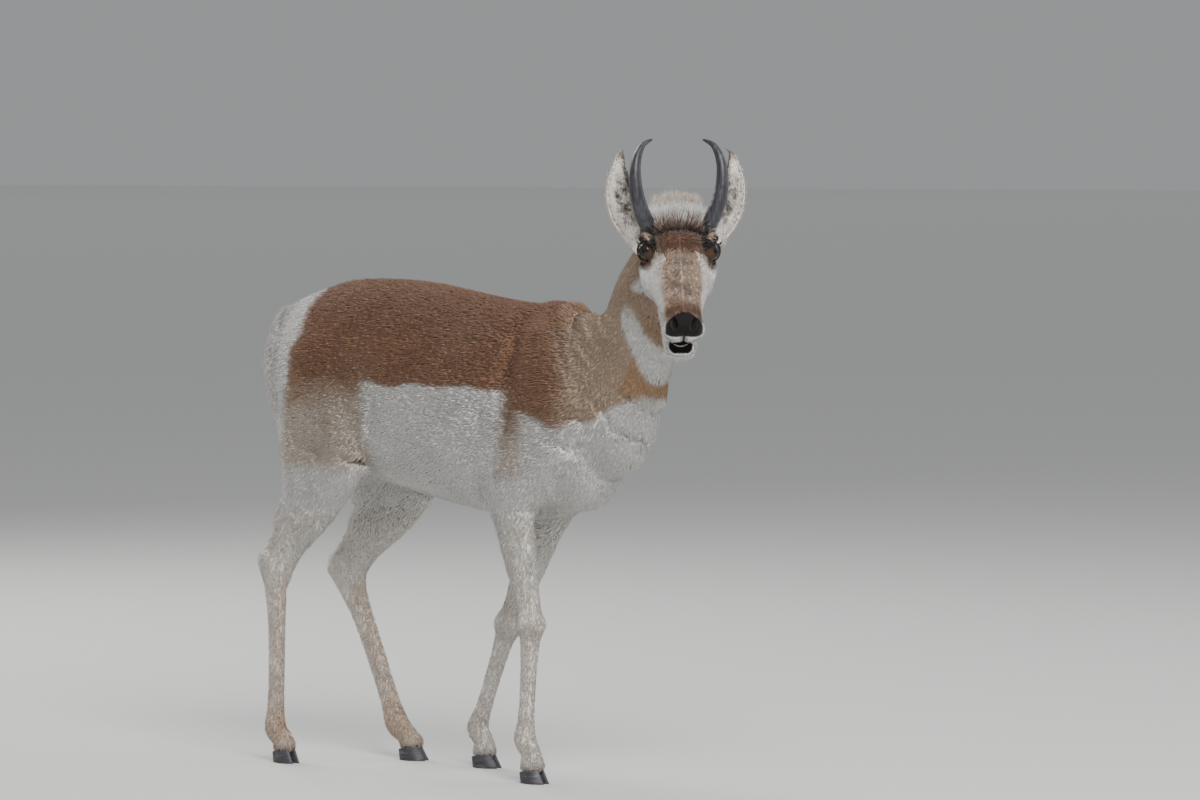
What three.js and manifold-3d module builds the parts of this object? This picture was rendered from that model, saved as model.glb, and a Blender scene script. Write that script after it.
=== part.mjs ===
// A life-size young male pronghorn, standing in mid step with its head turned to its right.
// Millimetres, +Z up, the animal faces -Y. Places are written as (forward, left, up) of the body.
import * as THREE from 'three';
import Module from 'manifold-3d';
import { mergeVertices } from 'three/addons/utils/BufferGeometryUtils.js';

const wasm = await Module();
wasm.setup();

// Driving dimensions
const WITHERS_HEIGHT = 890;
const CROUP_RISE = 44;
const CHEST_FLOOR = 484;
const GAP = 0.3;
const SOLE_TO_CORONET = 27;
const EYE_RADIUS = 19;
const HEAD_TURN = 50.5;
const HEAD_DIP = 46;
const EYES_AT = [579, -90, 986];
const HORN_REACH = 168;
const EAR_REACH = 150;

const COAT = {
  tan: 0xb07a52,
  paleTan: 0xc9a27c,
  white: 0xe6e1d8,
  horn: 0x2b2a2d,
  eye: 0x0d0a09,
  hoof: 0x2e2d31,
  tooth: 0xd9d2bf,
};

const at = (forward, left, up) => new THREE.Vector3(left, -forward, up);
const radians = THREE.MathUtils.degToRad;
const group = new THREE.Group();

// Fields: a field gives the distance from a point to a surface, negative inside the flesh.

// Catmull-Rom through named stations, cut into short steps.
function refine(stations, steps) {
  const fine = [];
  for (let i = 0; i < stations.length - 1; i++) {
    const around = [i - 1, i, i + 1, i + 2].map(
      (k) => stations[Math.min(Math.max(k, 0), stations.length - 1)],
    );
    const last = i === stations.length - 2;
    for (let j = 0; j < steps + (last ? 1 : 0); j++) {
      const t = j / steps;
      const mix = (pick) => {
        const [a, b, c, d] = around.map(pick);
        const rise = (c - a) / 2;
        const fall = (d - b) / 2;
        return b + t * (rise + t * (3 * (c - b) - 2 * rise - fall + t * (2 * (b - c) + rise + fall)));
      };
      fine.push({
        at: new THREE.Vector3(mix((s) => s.at.x), mix((s) => s.at.y), mix((s) => s.at.z)),
        deep: mix((s) => s.deep),
        wide: mix((s) => s.wide),
        pinch: mix((s) => s.pinch ?? 0),
      });
    }
  }
  return fine;
}

// A tube of flesh along stations: deep is its half depth, wide its half width across `side`,
// pinch narrows its upper half, and the caps round its two ends.
function limb(stations, { side = at(0, 1, 0), caps = [null, null], steps = 3, square = 2 } = {}) {
  const fine = refine(stations, steps);
  const parts = fine.slice(1).map((end, i) => {
    const start = fine[i];
    const along = end.at.clone().sub(start.at);
    const length = along.length();
    along.divideScalar(length);
    const across = side.clone().addScaledVector(along, -side.dot(along)).normalize();
    return { start, end, along, across, rise: new THREE.Vector3().crossVectors(along, across), length };
  });
  const lowCap = caps[0] ?? fine[0].wide;
  const highCap = caps[1] ?? fine.at(-1).wide;
  return (x, y, z) => {
    let best = Infinity;
    let chosen = 0;
    let share = 0;
    parts.forEach((part, i) => {
      const px = x - part.start.at.x;
      const py = y - part.start.at.y;
      const pz = z - part.start.at.z;
      const t = px * part.along.x + py * part.along.y + pz * part.along.z;
      const held = Math.min(Math.max(t, 0), part.length);
      const away = px * px + py * py + pz * pz - t * t + (t - held) * (t - held);
      if (away < best) {
        best = away;
        chosen = i;
        share = t;
      }
    });
    const { start, end, along, across, rise, length } = parts[chosen];
    const held = Math.min(Math.max(share, 0), length);
    const k = held / length;
    const px = x - start.at.x - along.x * held;
    const py = y - start.at.y - along.y * held;
    const pz = z - start.at.z - along.z * held;
    const up = (px * rise.x + py * rise.y + pz * rise.z) / (start.deep + (end.deep - start.deep) * k);
    const pinch = start.pinch + (end.pinch - start.pinch) * k;
    const out =
      ((px * across.x + py * across.y + pz * across.z) / (start.wide + (end.wide - start.wide) * k)) *
      (1 + pinch * Math.min(Math.max(up, -1), 1));
    const beyond = share - held;
    const cap = beyond < 0 ? beyond / lowCap : beyond / highCap;
    const ring = (Math.abs(up) ** square + Math.abs(out) ** square) ** (2 / square);
    const rho = Math.max(Math.sqrt(ring + cap * cap), 1e-4);
    const reach = Math.max(Math.sqrt(px * px + py * py + pz * pz), 1e-4);
    return reach * (1 - 1 / rho);
  };
}

// An ellipsoid with half sizes along three axes of a frame.
function lump(centre, sizes, axes) {
  return (x, y, z) => {
    const p = [x - centre.x, y - centre.y, z - centre.z];
    const rho = Math.max(
      Math.hypot(...axes.map((a, i) => (p[0] * a.x + p[1] * a.y + p[2] * a.z) / sizes[i])),
      1e-4,
    );
    return Math.max(Math.hypot(...p), 1e-4) * (1 - 1 / rho);
  };
}

const soften = (a, b, blend) => {
  const near = Math.max(blend - Math.abs(a - b), 0) / blend;
  return Math.min(a, b) - (near * near * blend) / 4;
};
const unite = (blend, ...fields) => (x, y, z) =>
  fields.reduce((sum, field) => soften(sum, field(x, y, z), blend), 1e4);

// Meshes: surface nets over a grid, then solids that are cut and joined.

// Corner n of a cell stands at (n & 1, n >> 1 & 1, n >> 2).
const CORNERS = [0, 1, 2, 3, 4, 5, 6, 7].map((n) => [n & 1, (n >> 1) & 1, n >> 2]);
const CELL_EDGES = CORNERS.flatMap((_, n) => [1, 2, 4].filter((c) => !(n & c)).map((c) => [n, n + c]));
const CELL_FACES = [1, 2, 4].flatMap((c) => [0, c].map((s) => [0, 1, 2, 3, 4, 5, 6, 7].filter((n) => (n & c) === s)));

// Groups the crossed edges of a cell by the sheet of surface they belong to.
function sheetsOf(inside) {
  const crossed = CELL_EDGES.filter(([n, m]) => inside[n] !== inside[m]);
  const owner = crossed.map((_, i) => i);
  const root = (i) => (owner[i] === i ? i : root(owner[i]));
  for (const face of CELL_FACES) {
    const onFace = crossed.map((_, i) => i).filter((i) => crossed[i].every((n) => face.includes(n)));
    for (const i of onFace)
      for (const j of onFace) {
        const inner = (e) => (inside[crossed[e][0]] ? crossed[e][0] : crossed[e][1]);
        if (onFace.length === 2 || inner(i) === inner(j)) owner[root(i)] = root(j);
      }
  }
  const groups = new Map();
  crossed.forEach((edge, i) => groups.set(root(i), [...(groups.get(root(i)) ?? []), edge]));
  return groups.values();
}

function polygonize(field, low, high, cell) {
  const count = [0, 1, 2].map((k) => Math.ceil((high[k] - low[k]) / cell[k]));
  const place = (k, i) => low[k] + i * cell[k];
  const node = (i, j, k) => (k * (count[1] + 1) + j) * (count[0] + 1) + i;
  const values = new Float64Array((count[0] + 1) * (count[1] + 1) * (count[2] + 1));
  for (let k = 0; k <= count[2]; k++)
    for (let j = 0; j <= count[1]; j++)
      for (let i = 0; i <= count[0]; i++) {
        const rim = !i || !j || !k || i === count[0] || j === count[1] || k === count[2];
        const value = field(place(0, i), place(1, j), place(2, k));
        values[node(i, j, k)] = rim ? Math.max(value, 1) : value || 1e-6;
      }
  // Each cell gets one vertex per sheet of surface that passes through it.
  const vertices = [];
  const numbers = new Map();
  for (let k = 0; k < count[2]; k++)
    for (let j = 0; j < count[1]; j++)
      for (let i = 0; i < count[0]; i++) {
        const cellAt = [i, j, k];
        const inside = CORNERS.map(([a, b, c]) => values[node(i + a, j + b, k + c)] < 0);
        for (const sheet of sheetsOf(inside)) {
          const sum = [0, 0, 0];
          for (const [n, m] of sheet) {
            const from = CORNERS[n].map((v, d) => v + cellAt[d]);
            const to = CORNERS[m].map((v, d) => v + cellAt[d]);
            const a = values[node(...from)];
            const t = a / (a - values[node(...to)]);
            for (let d = 0; d < 3; d++)
              sum[d] += (place(d, from[d]) + (place(d, to[d]) - place(d, from[d])) * t) / sheet.length;
            numbers.set(`${node(i, j, k)}/${n}/${m}`, vertices.length / 3);
          }
          vertices.push(...settle(field, sum, cellAt.map((n, d) => place(d, n)), cell));
        }
      }
  const faces = [];
  for (let k = 0; k < count[2]; k++)
    for (let j = 0; j < count[1]; j++)
      for (let i = 0; i < count[0]; i++)
        for (let c = 0; c < 3; c++) {
          const here = [i, j, k];
          const next = here.map((n, d) => n + (d === c ? 1 : 0));
          const [u, v] = [(c + 1) % 3, (c + 2) % 3];
          const inside = values[node(...here)] < 0;
          if (!here[u] || !here[v] || inside === values[node(...next)] < 0) continue;
          const round = [[-1, -1], [0, -1], [0, 0], [-1, 0]].map(([du, dv]) => {
            const cellAt = [...here];
            cellAt[u] += du;
            cellAt[v] += dv;
            const n = (du ? 1 << u : 0) + (dv ? 1 << v : 0);
            return numbers.get(`${node(...cellAt)}/${n}/${n + (1 << c)}`);
          });
          if (!inside) round.reverse();
          const apart = (p, q) =>
            Math.hypot(...[0, 1, 2].map((d) => vertices[3 * round[p] + d] - vertices[3 * round[q] + d]));
          const first = apart(0, 2) < apart(1, 3) ? 0 : 1;
          const turn = (n) => round[(first + n) % 4];
          faces.push(turn(0), turn(1), turn(2), turn(0), turn(2), turn(3));
        }
  const geometry = new THREE.BufferGeometry();
  geometry.setAttribute('position', new THREE.Float32BufferAttribute(vertices, 3));
  geometry.setIndex(faces);
  return geometry;
}

// Moves a vertex onto the surface, without leaving its cell.
function settle(field, start, low, cell) {
  const probe = 0.5;
  let p = start;
  for (let turn = 0; turn < 3; turn++) {
    const value = field(...p);
    const slope = [0, 1, 2].map((d) => {
      const q = [...p];
      q[d] += probe;
      return (field(...q) - value) / probe;
    });
    const steep = Math.max(slope[0] ** 2 + slope[1] ** 2 + slope[2] ** 2, 0.05);
    p = p.map((v, d) => {
      const moved = v - (value * slope[d]) / steep;
      const margin = 0.04 * cell[d];
      return Math.min(Math.max(moved, low[d] + margin), low[d] + cell[d] - margin);
    });
  }
  return p;
}

function solid(geometry) {
  let merged = geometry;
  if (geometry.attributes.normal) {
    merged = geometry.clone();
    merged.deleteAttribute('normal');
    merged.deleteAttribute('uv');
    merged = mergeVertices(merged, 1e-4);
  }
  return new wasm.Manifold(
    new wasm.Mesh({
      numProp: 3,
      vertProperties: merged.attributes.position.array,
      triVerts: new Uint32Array(merged.index.array),
    }),
  );
}

function geometryOf(manifold) {
  const mesh = manifold.getMesh();
  const geometry = new THREE.BufferGeometry();
  const places = new Float32Array(mesh.numVert * 3);
  for (let i = 0; i < mesh.numVert; i++)
    for (let d = 0; d < 3; d++) places[3 * i + d] = mesh.vertProperties[i * mesh.numProp + d];
  geometry.setAttribute('position', new THREE.BufferAttribute(places, 3));
  geometry.setIndex(new THREE.BufferAttribute(mesh.triVerts, 1));
  return geometry;
}

function add(name, manifold, colour, roughness = 0.9) {
  const geometry = geometryOf(manifold).toNonIndexed();
  geometry.computeVertexNormals();
  const material = new THREE.MeshStandardMaterial({ color: colour, roughness, metalness: 0 });
  const mesh = new THREE.Mesh(geometry, material);
  mesh.name = name;
  group.add(mesh);
}

// A block is a box that fences one piece off. grow widens it, so that its neighbour keeps a gap.
const block = (centre, sizes, axes) => ({ centre, sizes, axes });
function blockSolid({ centre, sizes, axes }, grow = 0) {
  const geometry = new THREE.BoxGeometry(...sizes.map((s) => s + 2 * grow));
  const turn = new THREE.Matrix4().makeBasis(...axes).setPosition(centre);
  return solid(geometry.applyMatrix4(turn));
}

const WORLD_AXES = [at(0, 1, 0), at(-1, 0, 0), at(0, 0, 1)];
const fence = (low, high) =>
  block(
    at(...low.map((v, d) => (v + high[d]) / 2)),
    [high[1] - low[1], high[0] - low[0], high[2] - low[2]],
    WORLD_AXES,
  );

// Half spaces are large blocks whose near face passes through a point and faces along `normal`.
function halfSpace(point, normal, sideways = at(0, 1, 0), size = 900) {
  const n = normal.clone().normalize();
  const s = sideways.clone().addScaledVector(n, -sideways.dot(n)).normalize();
  return block(point.clone().addScaledVector(n, size / 2), [size, size, size], [
    s,
    new THREE.Vector3().crossVectors(n, s),
    n,
  ]);
}

// Trunk
const backAt = (share) => WITHERS_HEIGHT + CROUP_RISE * share;
const section = (forward, top, bottom, wide, pinch) => ({
  at: at(forward, 0, (top + bottom) / 2),
  deep: (top - bottom) / 2,
  wide,
  pinch,
});
const trunkStations = [
  section(-346, backAt(-0.2), 612, 96, 0.06),
  section(-300, backAt(0.38), 596, 116, 0.08),
  section(-225, backAt(0.92), 572, 126, 0.1),
  section(-150, backAt(1), 548, 132, 0.12),
  section(-50, backAt(0.82), 524, 144, 0.14),
  section(50, backAt(0.42), 503, 149, 0.18),
  section(150, backAt(0.12), CHEST_FLOOR + 3, 140, 0.26),
  section(235, backAt(0), CHEST_FLOOR, 120, 0.34),
  section(312, backAt(-0.45), CHEST_FLOOR + 16, 100, 0.24),
];
const trunk = limb(trunkStations, { caps: [66, 80], square: 2.15, steps: 4 });

// Head, in a frame of its own: `muzzle` runs from the eyes to the nose, `brow` out of the face
const turn = radians(HEAD_TURN);
const dip = radians(HEAD_DIP);
const facing = at(Math.cos(turn), -Math.sin(turn), 0);
const headLeft = at(Math.sin(turn), Math.cos(turn), 0);
const sky = at(0, 0, 1);
const muzzle = facing.clone().multiplyScalar(Math.cos(dip)).addScaledVector(sky, -Math.sin(dip));
const brow = facing.clone().multiplyScalar(Math.sin(dip)).addScaledVector(sky, Math.cos(dip));
const eyesAt = at(...EYES_AT);
const onHead = (along, out, left) =>
  eyesAt.clone().addScaledVector(muzzle, along).addScaledVector(brow, out).addScaledVector(headLeft, left);
const headAxes = [muzzle, brow, headLeft];

const slice = (along, top, bottom, wide, pinch) => ({
  at: onHead(along, (top + bottom) / 2, 0),
  deep: (top - bottom) / 2,
  wide,
  pinch,
});
const skull = limb(
  [
    slice(-78, 30, -44, 48, 0.1),
    slice(-42, 42, -66, 60, 0.05),
    slice(-8, 40, -80, 66, 0),
    slice(28, 33, -80, 66, 0.02),
    slice(66, 27, -70, 55, 0.06),
    slice(104, 24, -60, 44, 0.02),
    slice(142, 22, -54, 38, -0.02),
    slice(174, 12, -50, 35, -0.04),
  ],
  { side: headLeft, caps: [30, 18], square: 2.3 },
);
const jaw = limb(
  [
    slice(-6, -50, -92, 44, 0),
    slice(44, -56, -92, 40, 0),
    slice(92, -60, -90, 34, 0),
    slice(132, -67, -99, 30, 0),
    slice(158, -70, -110, 28, 0),
  ],
  { side: headLeft, caps: [20, 12], square: 2.2 },
);
const headParts = [-1, 1].flatMap((side) => [
  // brow ridge and the rim of the eye socket
  lump(onHead(-6, 12, side * 58), [34, 24, 17], headAxes),
  // cheek
  lump(onHead(14, -48, side * 44), [52, 36, 24], headAxes),
  // side of the nose, over the nostril
  lump(onHead(174, -10, side * 21), [17, 19, 15], headAxes),
]);
const upperHead = unite(16, skull, ...headParts);
const head = unite(12, upperHead, jaw);

// Neck
const neck = limb(
  [
    { at: at(262, 0, 735), deep: 148, wide: 92 },
    { at: at(363, -2, 752), deep: 134, wide: 84 },
    { at: at(432, -8, 832), deep: 84, wide: 68 },
    { at: at(470, -22, 915), deep: 71, wide: 58 },
    { at: onHead(-66, -34, 0), deep: 56, wide: 50 },
  ],
  { caps: [60, 30] },
);

// Legs: the joints of each are places in the body, and the sizes are half depths and half widths
function foreleg(side, joints) {
  const { shoulder, elbow, knee, fetlock, coronet } = joints;
  const between = (a, b, share, shift = [0, 0, 0]) => a.map((v, d) => v + (b[d] - v) * share + shift[d]);
  const out = (p) => at(p[0], side * p[1], p[2]);
  const toeOut = at(side * -0.08, 1, 0).normalize();
  const arm = limb(
    [
      { at: at(252, side * 62, 822), deep: 44, wide: 30 },
      { at: at(262, side * 78, 735), deep: 74, wide: 44 },
      { at: out(shoulder), deep: 76, wide: 46 },
      { at: out(elbow), deep: 56, wide: 38 },
      { at: out(between(elbow, knee, 0.28, [-6, 0, 0])), deep: 42, wide: 31 },
      { at: out(between(elbow, knee, 0.55, [-3, 0, 0])), deep: 34, wide: 26 },
      { at: out(between(elbow, knee, 0.82)), deep: 26, wide: 21 },
      { at: out(knee), deep: 26, wide: 23 },
    ],
    { side: toeOut, caps: [30, 20] },
  );
  const shin = limb(
    [
      { at: out(knee), deep: 26, wide: 23 },
      { at: out(between(knee, fetlock, 0.2)), deep: 20, wide: 18 },
      { at: out(between(knee, fetlock, 0.5)), deep: 17, wide: 15.5 },
      { at: out(between(knee, fetlock, 0.82)), deep: 17.5, wide: 16.5 },
      { at: out(fetlock), deep: 22.5, wide: 21 },
      { at: out(between(fetlock, coronet, 0.5, [4, 0, 0])), deep: 20, wide: 20 },
      { at: out(coronet), deep: 25, wide: 24 },
    ],
    { side: toeOut, caps: [20, 22] },
  );
  // point of the elbow, and the heel of the knee
  const olecranon = lump(out(between(elbow, shoulder, 0.12, [-34, 2, 4])), [20, 26, 30], WORLD_AXES);
  return unite(18, arm, shin, olecranon);
}

function hindleg(side, joints) {
  const { hip, stifle, hock, heel, fetlock, coronet, spread } = joints;
  const between = (a, b, share, shift = [0, 0, 0]) => a.map((v, d) => v + (b[d] - v) * share + shift[d]);
  const out = (p) => at(p[0], side * p[1], p[2]);
  const splay = radians(spread);
  const toeOut = at(-side * Math.sin(splay), Math.cos(splay), 0);
  const thigh = limb(
    [
      { at: out(hip), deep: 96, wide: 56 },
      { at: out(between(hip, stifle, 0.5, [-14, 0, 0])), deep: 88, wide: 50 },
      { at: out(stifle), deep: 57, wide: 42 },
      { at: out(between(stifle, hock, 0.42, [-6, 0, 6])), deep: 62, wide: 34 },
      { at: out(between(stifle, hock, 0.75, [-6, 0, 4])), deep: 36, wide: 24 },
      { at: out(hock), deep: 27, wide: 22 },
    ],
    { caps: [60, 20] },
  );
  const ham = limb(
    [
      { at: out([-330, 52, 775]), deep: 60, wide: 44 },
      { at: out([-308, 66, 690]), deep: 54, wide: 42 },
      { at: out(between(hip, hock, 0.62, [22, 4, 0])), deep: 44, wide: 34 },
      { at: out(between(stifle, heel, 0.62, [-16, 0, 16])), deep: 27, wide: 20 },
      { at: out(between(stifle, heel, 0.86, [-6, 0, 6])), deep: 17, wide: 12 },
      { at: out(heel), deep: 14, wide: 13 },
    ],
    { caps: [40, 10] },
  );
  const shin = limb(
    [
      { at: out(between(heel, hock, 0.45)), deep: 31, wide: 21 },
      { at: out(between(hock, fetlock, 0.12, [-6, 0, 0])), deep: 27, wide: 20 },
      { at: out(between(hock, fetlock, 0.3, [-2, 0, 0])), deep: 22, wide: 17 },
      { at: out(between(hock, fetlock, 0.6)), deep: 20, wide: 15.5 },
      { at: out(between(hock, fetlock, 0.85)), deep: 20, wide: 16.5 },
      { at: out(fetlock), deep: 25, wide: 21 },
      { at: out(between(fetlock, coronet, 0.5, [3, 0, 0])), deep: 21, wide: 20 },
      { at: out(coronet), deep: 25, wide: 23 },
    ],
    { side: toeOut, caps: [16, 22] },
  );
  const buttock = lump(out([-252, 70, 638]), [42, 90, 110], WORLD_AXES);
  return unite(26, unite(30, thigh, ham, buttock), shin);
}

const legs = {
  foreleg_right: {
    side: -1,
    fore: true,
    reach: [120, 330],
    joints: {
      shoulder: [276, 84, 648],
      elbow: [212, 92, 540],
      knee: [247, 85, 296],
      fetlock: [230, 80, 82],
      coronet: [246, 79, 34],
    },
  },
  foreleg_left: {
    side: 1,
    fore: true,
    reach: [-30, 290],
    joints: {
      shoulder: [262, 84, 640],
      elbow: [178, 90, 520],
      knee: [76, 78, 276],
      fetlock: [6, 74, 76],
      coronet: [22, 74, 34],
    },
  },
  hindleg_right: {
    side: -1,
    reach: [-480, -110],
    joints: {
      hip: [-262, 66, 772],
      stifle: [-186, 92, 600],
      hock: [-350, 88, 366],
      heel: [-376, 88, 396],
      fetlock: [-356, 90, 66],
      coronet: [-334, 91, 33],
      spread: 20,
    },
  },
  hindleg_left: {
    side: 1,
    reach: [-480, -70],
    joints: {
      hip: [-252, 66, 772],
      stifle: [-132, 92, 578],
      hock: [-312, 88, 352],
      heel: [-350, 88, 382],
      fetlock: [-200, 90, 70],
      coronet: [-166, 91, 33],
      spread: 20,
    },
  },
};

// Tail, short and pressed to the rump
const tail = limb(
  [
    { at: at(-388, 0, 838), deep: 20, wide: 22 },
    { at: at(-414, 0, 806), deep: 17, wide: 24 },
    { at: at(-429, 0, 764), deep: 12, wide: 17 },
    { at: at(-431, 0, 734), deep: 7, wide: 8 },
  ],
  { caps: [20, 10] },
);

const legFields = Object.fromEntries(
  Object.entries(legs).map(([name, leg]) => [name, (leg.fore ? foreleg : hindleg)(leg.side, leg.joints)]),
);
const breast = lump(at(384, 0, 655), [76, 66, 84], WORLD_AXES);
const body = unite(20, unite(44, trunk, neck, breast), tail);
const flesh = unite(32, unite(22, body, head), ...Object.values(legFields));

// A closed skin over rings of points, each ring seen anticlockwise from the last one.
function loft(rings) {
  const around = rings[0].length;
  const places = rings.flat().flatMap((p) => [p.x, p.y, p.z]);
  const faces = [];
  for (let r = 0; r < rings.length - 1; r++)
    for (let i = 0; i < around; i++) {
      const [a, b] = [r * around + i, r * around + ((i + 1) % around)];
      faces.push(a, b, b + around, a, b + around, a + around);
    }
  const closeWith = (ring, first, flip) => {
    const middle = ring.reduce((sum, p) => sum.add(p), new THREE.Vector3()).divideScalar(around);
    const tip = places.push(middle.x, middle.y, middle.z) / 3 - 1;
    for (let i = 0; i < around; i++) {
      const [a, b] = [first + i, first + ((i + 1) % around)];
      faces.push(...(flip ? [b, a, tip] : [a, b, tip]));
    }
  };
  closeWith(rings[0], 0, true);
  closeWith(rings.at(-1), (rings.length - 1) * around, false);
  const geometry = new THREE.BufferGeometry();
  geometry.setAttribute('position', new THREE.Float32BufferAttribute(places, 3));
  geometry.setIndex(faces);
  const made = solid(geometry);
  if (made.volume() > 0) return made;
  for (let i = 0; i < faces.length; i += 3) [faces[i], faces[i + 1]] = [faces[i + 1], faces[i]];
  geometry.setIndex(faces);
  return solid(geometry);
}

// Horns: oval rings up a curve that rises, bows out and hooks in at the tip
const horn = (side, grow = 0) => {
  const path = new THREE.CatmullRomCurve3(
    [
      [-16, 39, 52],
      [0, 54, 55],
      [10, 90, 70],
      [13, 128, 78],
      [8, HORN_REACH, 77],
      [-4, HORN_REACH + 30, 65],
      [-16, HORN_REACH + 42, 46],
    ].map(([fore, up, left]) =>
      eyesAt.clone().addScaledVector(facing, fore - 10).addScaledVector(sky, up - 6)
        .addScaledVector(headLeft, side * left),
    ),
  );
  const steps = 12;
  const around = 10;
  const rings = [];
  for (let s = 0; s <= steps; s++) {
    const t = s / steps;
    const centre = path.getPointAt(t);
    const along = path.getTangentAt(t);
    const across = headLeft.clone().addScaledVector(along, -headLeft.dot(along)).normalize();
    const fore = new THREE.Vector3().crossVectors(across, along);
    const taper = 1 - 0.42 * t - 0.48 * t ** 4;
    const ridge = s % 2 && t > 0.1 && t < 0.6 ? 1.04 : 1;
    const ring = [];
    for (let i = 0; i < around; i++) {
      const a = (i / around) * 2 * Math.PI;
      ring.push(
        centre.clone()
          .addScaledVector(across, (15.5 * taper * ridge + grow) * Math.cos(a))
          .addScaledVector(fore, (19 * taper * ridge + grow) * Math.sin(a)),
      );
    }
    rings.push(ring);
  }
  return loft(rings);
};

// Ears: thin cupped leaves, hollow side turned to where the head looks
const ear = (side, grow = 0) => {
  const path = new THREE.CatmullRomCurve3(
    [
      [-64, 6, 54],
      [-66, 34, 72],
      [-62, 70, 90],
      [-58, 112, 101],
      [-58, EAR_REACH, 102],
      [-60, EAR_REACH + 28, 96],
    ].map(([fore, up, left]) =>
      eyesAt.clone().addScaledVector(facing, fore).addScaledVector(sky, up)
        .addScaledVector(headLeft, side * left),
    ),
  );
  const steps = 10;
  const half = 5;
  const widths = [18, 20, 22, 25, 27, 27, 25, 22, 17, 10, 3.5];
  const rings = [];
  for (let s = 0; s <= steps; s++) {
    const t = s / steps;
    const centre = path.getPointAt(t);
    const along = path.getTangentAt(t);
    const look = facing.clone().applyAxisAngle(sky, side * radians(22));
    const fore = look.addScaledVector(along, -look.dot(along)).normalize();
    const across = new THREE.Vector3().crossVectors(along, fore);
    const wide = widths[s] + grow;
    const cup = 0.85 - 0.25 * t;
    const hollow = s < 2 ? 0.1 : Math.min(1, (s - 1) / 2);
    const thick = 2.6 + 1.8 * (1 - t) + 2 * grow;
    const edge = (k, inner) => {
      const a = -1.15 + (2.3 * k) / half;
      const bulge = wide * cup * (Math.cos(a) - Math.cos(1.15)) * (inner ? -hollow : -1);
      const reach = (wide * Math.sin(a)) / Math.sin(1.15);
      return centre.clone().addScaledVector(across, reach * (inner ? 0.93 : 1))
        .addScaledVector(fore, bulge + (inner ? thick * (s < 2 ? 3 : 1) : 0) + 8);
    };
    const ring = [];
    for (let k = 0; k <= half; k++) ring.push(edge(k, false));
    for (let k = half; k >= 0; k--) ring.push(edge(k, true));
    rings.push(ring);
  }
  return loft(rings);
};

const eye = (side, grow = 0) => {
  const ball = new THREE.SphereGeometry(EYE_RADIUS + grow, 12, 9);
  const place = onHead(0, 4, side * 55);
  return solid(ball.translate(place.x, place.y, place.z));
};

// Hooves: two long pointed claws a foot, flat below, sloped in front
function claw(foot, inner, side) {
  const [forward, left] = foot.at;
  const heading = at(Math.cos(foot.toes), side * Math.sin(foot.toes), 0);
  const across = new THREE.Vector3().crossVectors(sky, heading);
  const outline = (height) => {
    const slope = height / 40;
    const length = 25 - 7 * slope;
    const ring = [];
    const around = 10;
    for (let i = 0; i < around; i++) {
      const a = (i / around) * 2 * Math.PI;
      const along = Math.cos(a);
      const narrow = along > 0 ? 1 - 0.45 * along ** 2 : 1;
      const bend = along > 0 ? -3.2 * along ** 2 : 0;
      ring.push(
        at(forward, left, height)
          .addScaledVector(heading, length * along - 12 * slope + (along > 0 ? 3 * (1 - slope) : 0))
          .addScaledVector(across, inner * (10.8 + bend + 9.8 * Math.sin(a) * narrow)),
      );
    }
    return ring;
  };
  return loft([0, 3, 20, 46].map(outline));
}

// Lower front teeth, a low curved row
const teeth = (grow = 0) => {
  const rings = [];
  for (const [rise, size] of [[-9, 1], [-2, 1], [4, 0.9], [7, 0.6]]) {
    const ring = [];
    for (let i = 0; i < 16; i++) {
      const a = (i / 16) * 2 * Math.PI;
      ring.push(
        onHead(
          153 + (3.2 * size + grow) * Math.sin(a) - 3 * Math.cos(a) ** 2,
          -84 + rise + Math.sign(rise) * grow,
          (12 * size + grow) * Math.cos(a),
        ),
      );
    }
    rings.push(ring);
  }
  return loft(rings);
};

// The open mouth, a wedge between the jaw and the palate
const mouthGap = () =>
  loft(
    [[84, 0.8, 40], [112, 3.8, 42], [142, 13, 46], [165, 25, 50], [215, 50, 54]].map(([along, high, wide]) =>
      [[-1, -1], [1, -1], [1, 1], [-1, 1]].map(([l, o]) => onHead(along, -61 + o * high, l * wide)),
    ),
  );

// Where the pieces part
const neckCut = halfSpace(at(372, 0, 760), at(0.86, 0, 0.5));
const headCutFace = muzzle.clone().multiplyScalar(0.93).addScaledVector(brow, 0.36).normalize();
const headCutUp = new THREE.Vector3().crossVectors(headCutFace, headLeft);
const headCut = block(
  onHead(-90, 2, 0).addScaledVector(headCutFace, 200).addScaledVector(headCutUp, 80),
  [400, 320, 620],
  [headCutFace, headLeft, headCutUp],
);
const throatCut = block(onHead(-80, -250, 0), [300, 320, 300], [muzzle, headLeft, new THREE.Vector3().crossVectors(muzzle, headLeft)]);
const headRegion = (grow) => blockSolid(headCut, grow).subtract(blockSolid(throatCut, -grow));
const tailCut = halfSpace(at(-408, 0, 800), at(-0.93, 0, 0.36));

function piece(name, field, box, cell, keep, drop, colour, carved = []) {
  const low = [box[0][1], -box[1][0], box[0][2]];
  const high = [box[1][1], -box[0][0], box[1][2]];
  let made = solid(polygonize(field, low, high, cell));
  for (const one of keep) made = made.intersect(one.axes ? blockSolid(one) : one);
  for (const one of drop) made = made.subtract(one.axes ? blockSolid(one, GAP) : one);
  for (const one of carved) made = made.subtract(one);
  add(name, made.decompose().reduce((a, b) => (a.volume() > b.volume() ? a : b)), colour);
}

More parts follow.
